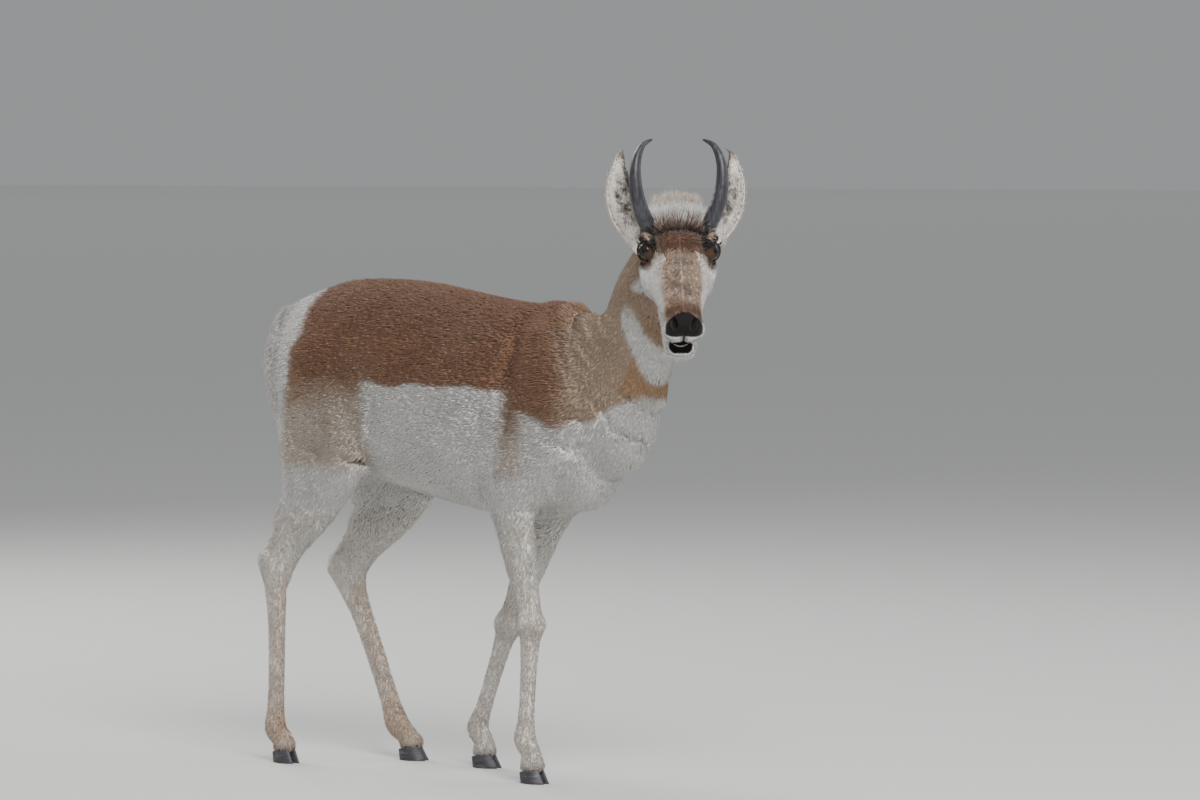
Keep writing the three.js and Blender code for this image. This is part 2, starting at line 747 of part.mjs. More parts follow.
const legBlocks = {};
for (const [name, leg] of Object.entries(legs)) {
  const inner = leg.fore ? 30 : 12;
  const top = leg.fore ? 530 : 640;
  const [near, far] = leg.side < 0 ? [-220, -inner] : [inner, 220];
  const [rear, front] = leg.reach;
  const middle = leg.fore ? leg.joints.knee[2] : leg.joints.hock[2] - 22;
  const [forward, left] = leg.joints.coronet;
  const coronet = at(forward, leg.side * left, SOLE_TO_CORONET);
  legBlocks[name] = {
    upper: fence([rear, near, middle], [front, far, top]),
    lower: fence([rear, near, 0], [front, far, middle - GAP]),
    whole: fence([rear, near, -10], [front, far, top]),
    box: [[rear - 30, near - 30, 0], [front + 30, far + 30, top + 30]],
    foot: halfSpace(coronet, at(0.3, 0, -0.95), at(0, 1, 0), 120),
    claws: halfSpace(coronet.clone().addScaledVector(sky, -GAP), at(0.3, 0, -0.95), at(0, 1, 0), 120),
    middle,
  };
}

piece(
  'trunk',
  flesh,
  [[-500, -210, 420], [470, 210, 990]],
  [42, 48, 44],
  [],
  [neckCut, tailCut, ...Object.values(legBlocks).map((b) => b.whole)],
  COAT.tan,
);
piece('neck', flesh, [[300, -140, 560], [640, 120, 1110]], [30, 30, 30], [neckCut], [headRegion(GAP)], COAT.paleTan);
piece(
  'head',
  flesh,
  [[420, -320, 760], [780, 140, 1130]],
  [18, 18, 18],
  [headRegion(0)],
  [],
  COAT.paleTan,
  [mouthGap(), teeth(1.5), ...[-1, 1].flatMap((side) => [horn(side, GAP), ear(side, GAP), eye(side, GAP)])],
);
piece('tail', flesh, [[-500, -60, 690], [-380, 60, 880]], [16, 14, 18], [tailCut], [], COAT.white);
for (const [side, name] of [[-1, 'right'], [1, 'left']]) {
  add(`horn_${name}`, horn(side), COAT.horn, 0.5);
  add(`ear_${name}`, ear(side), COAT.white);
  add(`eye_${name}`, eye(side), COAT.eye, 0.08);
}
add('teeth', teeth(), COAT.tooth, 0.4);
for (const [name, { upper, lower, foot, claws, box, middle }] of Object.entries(legBlocks)) {
  const leg = legs[name];
  const upperBox = [[box[0][0], box[0][1], middle - 30], box[1]];
  const lowerBox = [box[0], [box[1][0], box[1][1], middle + 30]];
  piece(`${name}_upper`, flesh, upperBox, [26, 24, 34], [upper], [], COAT.white);
  piece(`${name}_lower`, flesh, lowerBox, [13, 13, 32], [lower], [foot], COAT.white);
  const [forward, left] = leg.joints.coronet;
  const place = { at: [forward + 6, leg.side * left], toes: radians(leg.fore ? 4 : 12) };
  for (const [inner, where] of [[1, 'a'], [-1, 'b']])
    add(`${name}_claw_${where}`, claw(place, inner, leg.side).intersect(blockSolid(claws)), COAT.hoof, 0.45);
}

// The frame's origin is under the middle of the whole, on the floor
const bounds = new THREE.Box3().setFromObject(group);
const middleOf = bounds.getCenter(new THREE.Vector3());
group.position.set(-middleOf.x, -middleOf.y, -bounds.min.z);
const pronghorn = new THREE.Group();
pronghorn.add(group);

export default pronghorn;
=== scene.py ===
import math

import bpy
import numpy as np
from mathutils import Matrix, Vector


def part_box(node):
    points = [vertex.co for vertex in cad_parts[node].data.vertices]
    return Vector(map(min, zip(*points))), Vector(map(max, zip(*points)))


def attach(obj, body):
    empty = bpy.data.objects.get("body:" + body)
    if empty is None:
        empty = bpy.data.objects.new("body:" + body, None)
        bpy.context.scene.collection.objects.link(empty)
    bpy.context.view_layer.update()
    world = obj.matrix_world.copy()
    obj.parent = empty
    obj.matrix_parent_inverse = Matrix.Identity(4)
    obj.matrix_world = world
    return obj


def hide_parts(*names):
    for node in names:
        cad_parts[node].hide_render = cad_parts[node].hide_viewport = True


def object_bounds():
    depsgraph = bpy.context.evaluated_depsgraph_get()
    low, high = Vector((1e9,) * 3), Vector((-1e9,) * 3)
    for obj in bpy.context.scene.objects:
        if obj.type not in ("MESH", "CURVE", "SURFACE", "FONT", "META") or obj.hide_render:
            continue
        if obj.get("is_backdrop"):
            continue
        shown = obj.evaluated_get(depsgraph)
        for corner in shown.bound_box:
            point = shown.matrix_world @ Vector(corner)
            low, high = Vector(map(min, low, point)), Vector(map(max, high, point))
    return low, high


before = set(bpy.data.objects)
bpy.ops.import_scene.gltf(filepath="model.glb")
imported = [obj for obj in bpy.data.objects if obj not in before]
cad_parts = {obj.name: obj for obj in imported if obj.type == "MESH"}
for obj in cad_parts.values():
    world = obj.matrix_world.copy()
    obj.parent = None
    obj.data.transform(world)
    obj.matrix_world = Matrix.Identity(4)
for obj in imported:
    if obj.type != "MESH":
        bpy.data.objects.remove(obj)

import openvdb
from mathutils import Matrix, Vector

CAD_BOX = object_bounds()
RNG = np.random.default_rng(7)

# Body coordinates are (left, back, up) in millimetres, as in the solids before they were centred.
WITHERS_HEIGHT, CROUP_RISE, CHEST_FLOOR = 890.0, 44.0, 484.0
HEAD_TURN, HEAD_DIP = math.radians(50.5), math.radians(46)
EYE_RADIUS = 19.0
HORN_REACH, EAR_REACH = 168.0, 150.0
CELL = 4.6
EYE_ASIDE, EYE_OUT = 55.0, 4.0


def at(forward, left, up):
    return np.array([left, -forward, up], float)


def unit(v):
    v = np.asarray(v, float)
    return v / np.linalg.norm(v, axis=-1, keepdims=True)


SKY = at(0, 0, 1)
FACING = at(math.cos(HEAD_TURN), -math.sin(HEAD_TURN), 0)
HEAD_LEFT = at(math.sin(HEAD_TURN), math.cos(HEAD_TURN), 0)
MUZZLE = FACING * math.cos(HEAD_DIP) - SKY * math.sin(HEAD_DIP)
BROW = FACING * math.sin(HEAD_DIP) + SKY * math.cos(HEAD_DIP)
EYES_AT = at(579, -90, 986)
HEAD_AXES = np.array([MUZZLE, BROW, HEAD_LEFT])


def on_head(along, out, left):
    return EYES_AT + MUZZLE * along + BROW * out + HEAD_LEFT * left


def node_middle(name):
    low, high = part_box(name)
    return (np.array(low) + np.array(high)) * 500


EYE_MIDDLE = on_head(0, EYE_OUT, 0)
SHIFT = (node_middle("eye_left") + node_middle("eye_right")) / 2 - EYE_MIDDLE


def to_frame(points):
    return (np.asarray(points, float) + SHIFT) / 1000


# Camera, floor and light
CAMERA_AZIMUTH, CAMERA_HEIGHT, CAMERA_REACH = math.radians(-53), math.radians(3.5), 10.0
PIXELS_PER_METRE = 530.0
IMAGE = (1200, 800)
SENSOR_WIDTH = 36
TARGET_PIXEL = (452, 480)
target = Vector(to_frame(at(0, 0, 550)))
back = Vector((math.sin(CAMERA_AZIMUTH) * math.cos(CAMERA_HEIGHT),
               -math.cos(CAMERA_AZIMUTH) * math.cos(CAMERA_HEIGHT), math.sin(CAMERA_HEIGHT)))
right = Vector((math.cos(CAMERA_AZIMUTH), math.sin(CAMERA_AZIMUTH), 0))
camera_data = bpy.data.cameras.new("camera")
camera = bpy.data.objects.new("camera", camera_data)
bpy.context.scene.collection.objects.link(camera)
camera.matrix_world = Matrix.Translation(target + back * CAMERA_REACH) @ Matrix(
    (right, back.cross(right), back)).transposed().to_4x4()
camera_data.sensor_width = SENSOR_WIDTH
camera_data.lens = PIXELS_PER_METRE * CAMERA_REACH * SENSOR_WIDTH / IMAGE[0]
camera_data.shift_x = (IMAGE[0] / 2 - TARGET_PIXEL[0]) / IMAGE[0]
camera_data.shift_y = (TARGET_PIXEL[1] - IMAGE[1] / 2) / IMAGE[0]
camera_data.clip_end = 500
bpy.context.scene.camera = camera


def link(obj):
    bpy.context.scene.collection.objects.link(obj)
    return obj


def area_light(name, place, energy, size, colour):
    data = bpy.data.lights.new(name, "AREA")
    data.energy, data.size, data.color = energy, size, colour
    lamp = link(bpy.data.objects.new(name, data))
    lamp.location = place
    lamp.rotation_euler = (Vector((0, 0, 0.6)) - Vector(place)).to_track_quat("-Z", "Y").to_euler()


area_light("key", (-3.2, -3.6, 4.6), 470, 3.0, (1, 0.985, 0.96))
area_light("fill", (3.6, -3.0, 2.6), 90, 4.5, (0.95, 0.975, 1))
area_light("rim", (1.5, 4.2, 3.8), 210, 3.0, (1, 0.99, 0.97))
world = bpy.data.worlds.new("world")
bpy.context.scene.world = world
world.use_nodes = True
background = world.node_tree.nodes["Background"]
direction = world.node_tree.nodes.new("ShaderNodeTexCoord")
parted = world.node_tree.nodes.new("ShaderNodeSeparateXYZ")
dome = world.node_tree.nodes.new("ShaderNodeValToRGB")
world.node_tree.links.new(direction.outputs["Generated"], parted.inputs[0])
world.node_tree.links.new(parted.outputs["Z"], dome.inputs[0])
dome.color_ramp.elements[0].position, dome.color_ramp.elements[0].color = 0.14, (0.575, 0.585, 0.595, 1)
dome.color_ramp.elements[1].position, dome.color_ramp.elements[1].color = 0.6, (0.88, 0.9, 0.92, 1)
world.node_tree.links.new(dome.outputs[0], background.inputs[0])
background.inputs[1].default_value = 0.56


# Node helpers
def material(name):
    m = bpy.data.materials.new(name)
    m.use_nodes = True
    tree = m.node_tree
    return m, tree, tree.nodes["Principled BSDF"]


def node(tree, kind, inputs=(), **values):
    n = tree.nodes.new(kind)
    for key, value in values.items():
        setattr(n, key, value)
    for key, value in dict(inputs).items():
        if isinstance(value, bpy.types.NodeSocket):
            tree.links.new(value, n.inputs[key])
        else:
            n.inputs[key].default_value = value
    return n


def ramp(tree, factor, stops):
    n = node(tree, "ShaderNodeValToRGB", {"Fac": factor})
    while len(n.color_ramp.elements) < len(stops):
        n.color_ramp.elements.new(0.5)
    for element, (place, colour) in zip(n.color_ramp.elements, stops):
        element.position = place
        element.color = (*colour, 1) if len(colour) == 3 else colour
    return n.outputs["Color"]


def bump(tree, shader, height, strength, distance):
    n = node(tree, "ShaderNodeBump", {"Height": height, "Strength": strength, "Distance": distance})
    tree.links.new(n.outputs[0], shader.inputs["Normal"])


def noise(tree, place, scale, detail):
    return node(tree, "ShaderNodeTexNoise", {"Vector": place, "Scale": scale, "Detail": detail})


def times(tree, a, b):
    return node(tree, "ShaderNodeMath", {0: a, 1: b}, operation="MULTIPLY").outputs[0]


floor_mesh = bpy.data.meshes.new("floor")
FLOOR_REACH = 150
floor_corners = [(x * FLOOR_REACH, y * FLOOR_REACH, 0) for x, y in ((-1, -1), (1, -1), (1, 1), (-1, 1))]
floor_mesh.from_pydata(floor_corners, [], [(0, 1, 2, 3)])
floor = link(bpy.data.objects.new("floor", floor_mesh))
floor_look, tree, shader = material("floor")
speck = node(tree, "ShaderNodeTexNoise", {"Scale": 3.0, "Detail": 4.0})
tree.links.new(ramp(tree, speck.outputs["Fac"], [(0.3, (0.60, 0.595, 0.585)), (0.7, (0.64, 0.635, 0.625))]),
               shader.inputs["Base Color"])
shader.inputs["Roughness"].default_value = 0.9
floor_mesh.materials.append(floor_look)
floor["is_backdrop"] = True


# Fields: distance to a surface at many points at once, negative inside
def refine(stations, steps):
    fine = []
    last = len(stations) - 2
    for i in range(last + 1):
        a, b, c, d = (stations[min(max(k, 0), len(stations) - 1)] for k in (i - 1, i, i + 1, i + 2))
        for j in range(steps + (i == last)):
            t = j / steps
            rise, fall = (c - a) / 2, (d - b) / 2
            bend = 3 * (c - b) - 2 * rise - fall
            twist = 2 * (b - c) + rise + fall
            fine.append(b + t * (rise + t * (bend + t * twist)))
    return np.array(fine)


def station(place, deep, wide, pinch=0.0):
    return np.array([*place, deep, wide, pinch])


MARGIN = 60.0
FAR = 1e4


def boxed(low, high, inner):
    """A field that is only worked out near its own shape."""
    def field(p):
        near = np.all((p > low - MARGIN) & (p < high + MARGIN), axis=1)
        d = np.full(len(p), FAR)
        if near.any():
            d[near] = inner(p[near])
        return d
    return field


def limb(stations, side=at(0, 1, 0), caps=(None, None), steps=3, square=2.0):
    fine = refine(stations, steps)
    start, end = fine[:-1], fine[1:]
    along = end[:, :3] - start[:, :3]
    length = np.linalg.norm(along, axis=1)
    along /= length[:, None]
    across = unit(side - along * (along @ side)[:, None])
    rise = np.cross(along, across)
    low_cap = caps[0] or fine[0, 4]
    high_cap = caps[1] or fine[-1, 4]

    def inner(p):
        best = np.full(len(p), np.inf)
        chosen = np.zeros(len(p), int)
        share = np.zeros(len(p))
        for i in range(len(start)):
            q = p - start[i, :3]
            t = q @ along[i]
            held = np.clip(t, 0, length[i])
            away = (q * q).sum(1) - t * t + (t - held) ** 2
            better = away < best
            best[better], chosen[better], share[better] = away[better], i, t[better]
        s, e, n = start[chosen], end[chosen], length[chosen]
        held = np.clip(share, 0, n)
        k = (held / n)[:, None]
        size = s[:, 3:] + (e[:, 3:] - s[:, 3:]) * k
        q = p - s[:, :3] - along[chosen] * held[:, None]
        up = (q * rise[chosen]).sum(1) / size[:, 0]
        out = (q * across[chosen]).sum(1) / size[:, 1] * (1 + size[:, 2] * np.clip(up, -1, 1))
        beyond = share - held
        cap = np.where(beyond < 0, beyond / low_cap, beyond / high_cap)
        ring = (np.abs(up) ** square + np.abs(out) ** square) ** (2 / square)
        rho = np.maximum(np.sqrt(ring + cap * cap), 1e-4)
        return np.maximum(np.linalg.norm(q, axis=1), 1e-4) * (1 - 1 / rho)

    reach = fine[:, 3:5].max(1)[:, None]
    return boxed((fine[:, :3] - reach).min(0), (fine[:, :3] + reach).max(0), inner)


def lump(centre, sizes, axes=np.eye(3)):
    sizes = np.array(sizes, float)

    def inner(p):
        q = p - centre
        rho = np.maximum(np.linalg.norm((q @ axes.T) / sizes, axis=1), 1e-4)
        return np.maximum(np.linalg.norm(q, axis=1), 1e-4) * (1 - 1 / rho)

    return boxed(centre - sizes.max(), centre + sizes.max(), inner)


def soften(a, b, blend):
    near = np.maximum(blend - np.abs(a - b), 0) / blend
    return np.minimum(a, b) - near * near * blend / 4


def unite(blend, *fields):
    def field(p):
        d = np.full(len(p), FAR)
        for f in fields:
            d = soften(d, f(p), blend)
        return d
    return field


def back_at(share):
    return WITHERS_HEIGHT + CROUP_RISE * share


def section(forward, top, bottom, wide, pinch):
    return station(at(forward, 0, (top + bottom) / 2), (top - bottom) / 2, wide, pinch)


def head_slice(along, top, bottom, wide, pinch=0.0):
    return station(on_head(along, (top + bottom) / 2, 0), (top - bottom) / 2, wide, pinch)


trunk = limb([
    section(-346, back_at(-0.2), 612, 96, 0.06),
    section(-300, back_at(0.38), 596, 116, 0.08),
    section(-225, back_at(0.92), 572, 126, 0.1),
    section(-150, back_at(1), 548, 132, 0.12),
    section(-50, back_at(0.82), 524, 144, 0.14),
    section(50, back_at(0.42), 503, 149, 0.18),
    section(150, back_at(0.12), CHEST_FLOOR + 3, 140, 0.26),
    section(235, back_at(0), CHEST_FLOOR, 120, 0.34),
    section(312, back_at(-0.45), CHEST_FLOOR + 16, 100, 0.24),
], caps=(66, 80), square=2.15, steps=4)

skull = limb([
    head_slice(-78, 30, -44, 48, 0.1),
    head_slice(-42, 42, -66, 60, 0.05),
    head_slice(-8, 40, -80, 66, 0),
    head_slice(28, 33, -80, 66, 0.02),
    head_slice(66, 27, -70, 55, 0.06),
    head_slice(104, 24, -60, 44, 0.02),
    head_slice(142, 22, -54, 38, -0.02),
    head_slice(174, 12, -50, 35, -0.04),
], side=HEAD_LEFT, caps=(30, 18), square=2.3, steps=5)
jaw = limb([
    head_slice(-6, -50, -92, 44),
    head_slice(44, -56, -92, 40),
    head_slice(92, -60, -90, 34),
    head_slice(132, -67, -99, 30),
    head_slice(158, -70, -110, 28),
], side=HEAD_LEFT, caps=(20, 12), square=2.2, steps=5)
head_parts = []
for side in (-1, 1):
    head_parts += [
        lump(on_head(-6, 12, side * 58), (34, 24, 17), HEAD_AXES),
        lump(on_head(14, -48, side * 44), (52, 36, 24), HEAD_AXES),
        lump(on_head(174, -10, side * 21), (17, 19, 15), HEAD_AXES),
    ]
head = unite(12, unite(16, skull, *head_parts), jaw)

neck = limb([
    station(at(262, 0, 735), 148, 92),
    station(at(363, -2, 752), 134, 84),
    station(at(432, -8, 832), 84, 68),
    station(at(470, -22, 915), 71, 58),
    station(on_head(-66, -34, 0), 56, 50),
], caps=(60, 30))
tail = limb([
    station(at(-388, 0, 838), 20, 22),
    station(at(-414, 0, 806), 17, 24),
    station(at(-429, 0, 764), 12, 17),
    station(at(-431, 0, 734), 7, 8),
], caps=(20, 10))


def between(a, b, share, shift=(0, 0, 0)):
    return [a[d] + (b[d] - a[d]) * share + shift[d] for d in range(3)]


def foreleg(side, shoulder, elbow, knee, fetlock, coronet):
    def out(p, deep, wide):
        return station(at(p[0], side * p[1], p[2]), deep, wide)
    toe_out = unit(at(side * -0.08, 1, 0))
    arm = limb([
        out((252, 62, 822), 44, 30),
        out((262, 78, 735), 74, 44),
        out(shoulder, 76, 46),
        out(elbow, 56, 38),
        out(between(elbow, knee, 0.28, (-6, 0, 0)), 42, 31),
        out(between(elbow, knee, 0.55, (-3, 0, 0)), 34, 26),
        out(between(elbow, knee, 0.82), 26, 21),
        out(knee, 26, 23),
    ], side=toe_out, caps=(30, 20))
    shin = limb([
        out(knee, 26, 23),
        out(between(knee, fetlock, 0.2), 20, 18),
        out(between(knee, fetlock, 0.5), 17, 15.5),
        out(between(knee, fetlock, 0.82), 17.5, 16.5),
        out(fetlock, 22.5, 21),
        out(between(fetlock, coronet, 0.5, (4, 0, 0)), 20, 20),
        out(coronet, 25, 24),
    ], side=toe_out, caps=(20, 22))
    o = between(elbow, shoulder, 0.12, (-34, 2, 4))
    return unite(18, arm, shin, lump(at(o[0], side * o[1], o[2]), (20, 26, 30)))


def hindleg(side, hip, stifle, hock, heel, fetlock, coronet):
    def out(p, deep, wide):
        return station(at(p[0], side * p[1], p[2]), deep, wide)
    splay = math.radians(20)
    toe_out = at(-side * math.sin(splay), math.cos(splay), 0)
    thigh = limb([
        out(hip, 96, 56),
        out(between(hip, stifle, 0.5, (-14, 0, 0)), 88, 50),
        out(stifle, 57, 42),
        out(between(stifle, hock, 0.42, (-6, 0, 6)), 62, 34),
        out(between(stifle, hock, 0.75, (-6, 0, 4)), 36, 24),
        out(hock, 27, 22),
    ], caps=(60, 20))
    ham = limb([
        out((-330, 52, 775), 60, 44),
        out((-308, 66, 690), 54, 42),
        out(between(hip, hock, 0.62, (22, 4, 0)), 44, 34),
        out(between(stifle, heel, 0.62, (-16, 0, 16)), 27, 20),
        out(between(stifle, heel, 0.86, (-6, 0, 6)), 17, 12),
        out(heel, 14, 13),
    ], caps=(40, 10))
    shin = limb([
        out(between(heel, hock, 0.45), 31, 21),
        out(between(hock, fetlock, 0.12, (-6, 0, 0)), 27, 20),
        out(between(hock, fetlock, 0.3, (-2, 0, 0)), 22, 17),
        out(between(hock, fetlock, 0.6), 20, 15.5),
        out(between(hock, fetlock, 0.85), 20, 16.5),
        out(fetlock, 25, 21),
        out(between(fetlock, coronet, 0.5, (3, 0, 0)), 21, 20),
        out(coronet, 25, 23),
    ], side=toe_out, caps=(16, 22))
    return unite(26, unite(30, thigh, ham, lump(at(-252, side * 70, 638), (42, 90, 110))), shin)


LEGS = {
    "foreleg_right": (-1, dict(shoulder=(276, 84, 648), elbow=(212, 92, 540), knee=(247, 85, 296),
                               fetlock=(230, 80, 82), coronet=(246, 79, 34))),
    "foreleg_left": (1, dict(shoulder=(262, 84, 640), elbow=(178, 90, 520), knee=(76, 78, 276),
                             fetlock=(6, 74, 76), coronet=(22, 74, 34))),
    "hindleg_right": (-1, dict(hip=(-262, 66, 772), stifle=(-186, 92, 600), hock=(-350, 88, 366),
                               heel=(-376, 88, 396), fetlock=(-356, 90, 66), coronet=(-334, 91, 33))),
    "hindleg_left": (1, dict(hip=(-252, 66, 772), stifle=(-132, 92, 578), hock=(-312, 88, 352),
                             heel=(-350, 88, 382), fetlock=(-200, 90, 70), coronet=(-166, 91, 33))),
}
leg_fields = [(foreleg if "knee" in joints else hindleg)(side, **joints) for side, joints in LEGS.values()]
breast = lump(at(384, 0, 655), (76, 66, 84))
body = unite(20, unite(44, trunk, neck, breast), tail)
flesh = unite(32, unite(22, body, head), *leg_fields)


def forward(p):
    return -p[:, 1]


def smooth(low, high, x):
    t = np.clip((x - low) / (high - low), 0, 1)
    return t * t * (3 - 2 * t)


def in_head(p):
    q = p - EYES_AT
    return q @ MUZZLE, q @ BROW, q @ HEAD_LEFT


def head_share(p):
    """1 on the head, 0 on the neck and body."""
    a, o, s = in_head(p)
    n = (a + 78) * 0.93 + o * 0.36
    return smooth(-22, 26, n) * smooth(-150, -105, o + 0.25 * np.maximum(-a, 0)) * smooth(150, 120, np.abs(s))


BODY_COAT, LEG_COAT, FACE_COAT = 8.5, 3.0, 3.2


def coat_depth(p):
    """How far the skin lies inside the tips of the coat, in millimetres."""
    leg = smooth(520, 380, p[:, 2])
    face = head_share(p)
    along = in_head(p)[0]
    on_face = face * smooth(-50, 10, along)
    depth = BODY_COAT * (1 - leg) + LEG_COAT * leg
    return depth * (1 - on_face) + FACE_COAT * on_face


def stroke(p, line, radius):
    """Closeness to a broken line: 1 on it, falling off over the radius."""
    line = [np.asarray(q, float) for q in line]
    best = np.full(len(p), np.inf)
    for a, b in zip(line[:-1], line[1:]):
        t = np.clip(((p - a) @ (b - a)) / ((b - a) @ (b - a)), 0, 1)
        best = np.minimum(best, ((p - a - t[:, None] * (b - a)) ** 2).sum(1))
    return np.exp(-best / radius ** 2)


# Folds on each side: depth inwards, radius, then the line as (forward, left, up)
FOLDS = (
    # shoulder blade's hind edge, and the crease behind the elbow
    (5, 26, (205, 95, 800), (160, 135, 700), (150, 140, 600)),
    (7, 20, (150, 118, 560), (150, 96, 515)),
    # point of the shoulder and the breast fold
    (-5, 30, (338, 88, 640), (318, 92, 600)),
    (6, 11, (365, 66, 668), (392, 44, 672), (404, 20, 664)),
    # flank hollow and fold, groove between thigh and ham
    (6, 42, (-118, 132, 760), (-100, 134, 700)),
    (6, 16, (-95, 132, 640), (-118, 118, 570)),
    (3.5, 18, (-300, 112, 760), (-290, 104, 640), (-300, 98, 540)),
    # hip bone
    (-4, 26, (-150, 96, 872), (-180, 104, 850)),
    # ribs' soft edge
    (2.5, 24, (100, 130, 540), (0, 138, 580), (-90, 138, 650)),
)


def relief(p):
    """Folds and muscles, positive inwards."""
    d = np.zeros(len(p))
    for side in (-1, 1):
        near = p[:, 0] * side > -20
        q = p[near]
        e = np.zeros(len(q))
        for depth, radius, *line in FOLDS:
            e += depth * stroke(q, [at(f, side * l, u) for f, l, u in line], radius)
        d[near] += e
    # windpipe's groove
    d += 4 * stroke(p, [at(470, -62, 830), at(430, -52, 745)], 16)
    d += 4 * stroke(p, [at(470, 44, 830), at(430, 52, 745)], 16)
    for side, joints in LEGS.values():
        hind = "hock" in joints
        low = at(joints["fetlock"][0], side * joints["fetlock"][1], joints["fetlock"][2] + 28)
        top = joints["hock"] if hind else joints["knee"]
        top = at(top[0], side * top[1], top[2] - 46)
        near = (p[:, 2] < 460) & (np.linalg.norm(p[:, :2] - (low[:2] + top[:2]) / 2, axis=1) < 130)
        q = p[near]
        e = np.zeros(len(q))
        for flank in (-1, 1):
            # the groove before the tendons
            shift = np.array([flank * 16, 4, 0.0])
            e += 2.6 * stroke(q, [low + shift, top + shift], 6)
        if hind:
            heel = at(joints["heel"][0], side * joints["heel"][1], joints["heel"][2])
            for flank in (-1, 1):
                shift = np.array([flank * 15, -30, 62.0])
                e += 7 * stroke(q, [heel + shift * np.array([1, 0.4, 0.2]), heel + shift], 15)
        d[near] += e
    return d


# Shapes of the face: depth inwards, then place and reach as (along, out, aside)
FACE_SHAPES = (
    # hollow before the eye, the cheek bone under it and the hollow of the cheek
    (5, (34, -4, 56), (20, 16, 16)),
    (-3, (16, -26, 66), (34, 9, 14)),
    (4, (52, -62, 52), (30, 18, 16)),
    # bridge of the nose, and the hollow beside it
    (-2.5, (80, 28, 0), (60, 14, 14)),
    (4, (108, -6, 42), (34, 18, 14)),
    # dip over the nose pad
    (2, (150, 24, 0), (12, 10, 26)),
    # lips
    (-3, (168, -48, 26), (24, 8, 16)),
    (-3, (140, -56, 36), (18, 7, 12)),
    # groove under the nose pad
    (5, (192, -34, 0), (12, 16, 2.6)),
)


def face_relief(p):
    """Hollows and swellings of the face, positive inwards."""
    a, o, s = in_head(p)
    d = np.zeros(len(p))
    here = (a > -90) & (a < 215)
    q = np.stack([a, o, np.abs(s)], 1)[here]
    e = np.zeros(len(q))
    for depth, place, reach in FACE_SHAPES:
        e += depth * np.exp(-(((q - place) / reach) ** 2).sum(1))
    d[here] = e
    return d


def nostril(p):
    a, o, s = in_head(p)
    left = np.abs(s)
    u = (o - 5) * 0.85 + (left - 18) * 0.5
    v = (left - 18) * 0.85 - (o - 5) * 0.5
    return (np.sqrt((u / 11.0) ** 2 + (v / 6.2) ** 2 + ((a - 181) / 16) ** 2) - 1) * 6


def mouth(p):
    a, o, s = in_head(p)
    stops = [84, 112, 142, 165, 215]
    high = np.interp(a, stops, [0.6, 3.4, 12.2, 23.0, 46.0])
    # the lips close towards the corners, so the opening is rounded
    round_off = np.sqrt(np.clip(1 - (s / 29.0) ** 2, 0, 1))
    high = np.minimum(high, 1.2 + 25 * round_off)
    middle = -60.0 - 3.0 * (1 - round_off)
    return np.maximum(np.abs(o - middle) - high, 86 - a)


def eye_place(side):
    return on_head(0, EYE_OUT, side * EYE_ASIDE)


def eye_look_way(side):
    return unit(HEAD_LEFT * side * 0.74 + MUZZLE * 0.46 + BROW * 0.42)


EYE_SLANT = MUZZLE * 0.9 - BROW * 0.38


def eye_length_way(look):
    return unit(EYE_SLANT - look * (EYE_SLANT @ look))


def socket(p):
    """The hollow in front of each eye ball."""
    d = np.full(len(p), FAR)
    for side in (-1, 1):
        q = p - eye_place(side)
        look = eye_look_way(side)
        z = q @ look
        wide = np.linalg.norm(q - z[:, None] * look, axis=1)
        d = np.minimum(d, np.maximum(wide - 18.5 - 0.35 * z, 5 - z))
    return d


def lids(p):
    """Two folds of skin round each eye ball, with an almond between them."""
    d = np.full(len(p), FAR)
    for side in (-1, 1):
        c = eye_place(side)
        look = eye_look_way(side)
        lengthways = eye_length_way(look)
        upright = np.cross(look, lengthways) * side
        upright = upright * np.sign(upright @ BROW)
        q = p - c
        near = np.linalg.norm(q, axis=1) < 45
        if not near.any():
            continue
        q = q[near]
        x, y, z = q @ lengthways / 17.5, q @ upright, q @ look
        arch = np.maximum(1 - x * x, 0)
        shell = np.abs(np.linalg.norm(q, axis=1) - (EYE_RADIUS + 0.6)) - 1.6
        gap = np.maximum(np.maximum(y - 8.6 * arch, -y - 9.2 * arch), -z + 2)
        gap = np.minimum(gap, np.where(np.abs(x) > 1, 3, FAR))
        d[near] = np.minimum(d[near], np.where(gap > 0, shell, np.maximum(shell, -gap + 0.2)))
    return d


def skin_field(p):
    d = flesh(p) + coat_depth(p) + relief(p) + face_relief(p)
    d = np.maximum(d, -mouth(p))
    d = -soften(-d, nostril(p), 3)
    for side in (-1, 1):
        ball = np.linalg.norm(p - eye_place(side), axis=1) - (EYE_RADIUS + 0.4)
        d = -soften(-d, ball, 2)
    d = -soften(-d, socket(p), 5)
    return soften(d, lids(p), 4)


def slope(field, p, probe=0.6):
    g = np.empty_like(p)
    for k in range(3):
        step = np.zeros(3)
        step[k] = probe
        g[:, k] = (field(p + step) - field(p - step)) / (2 * probe)
    return g


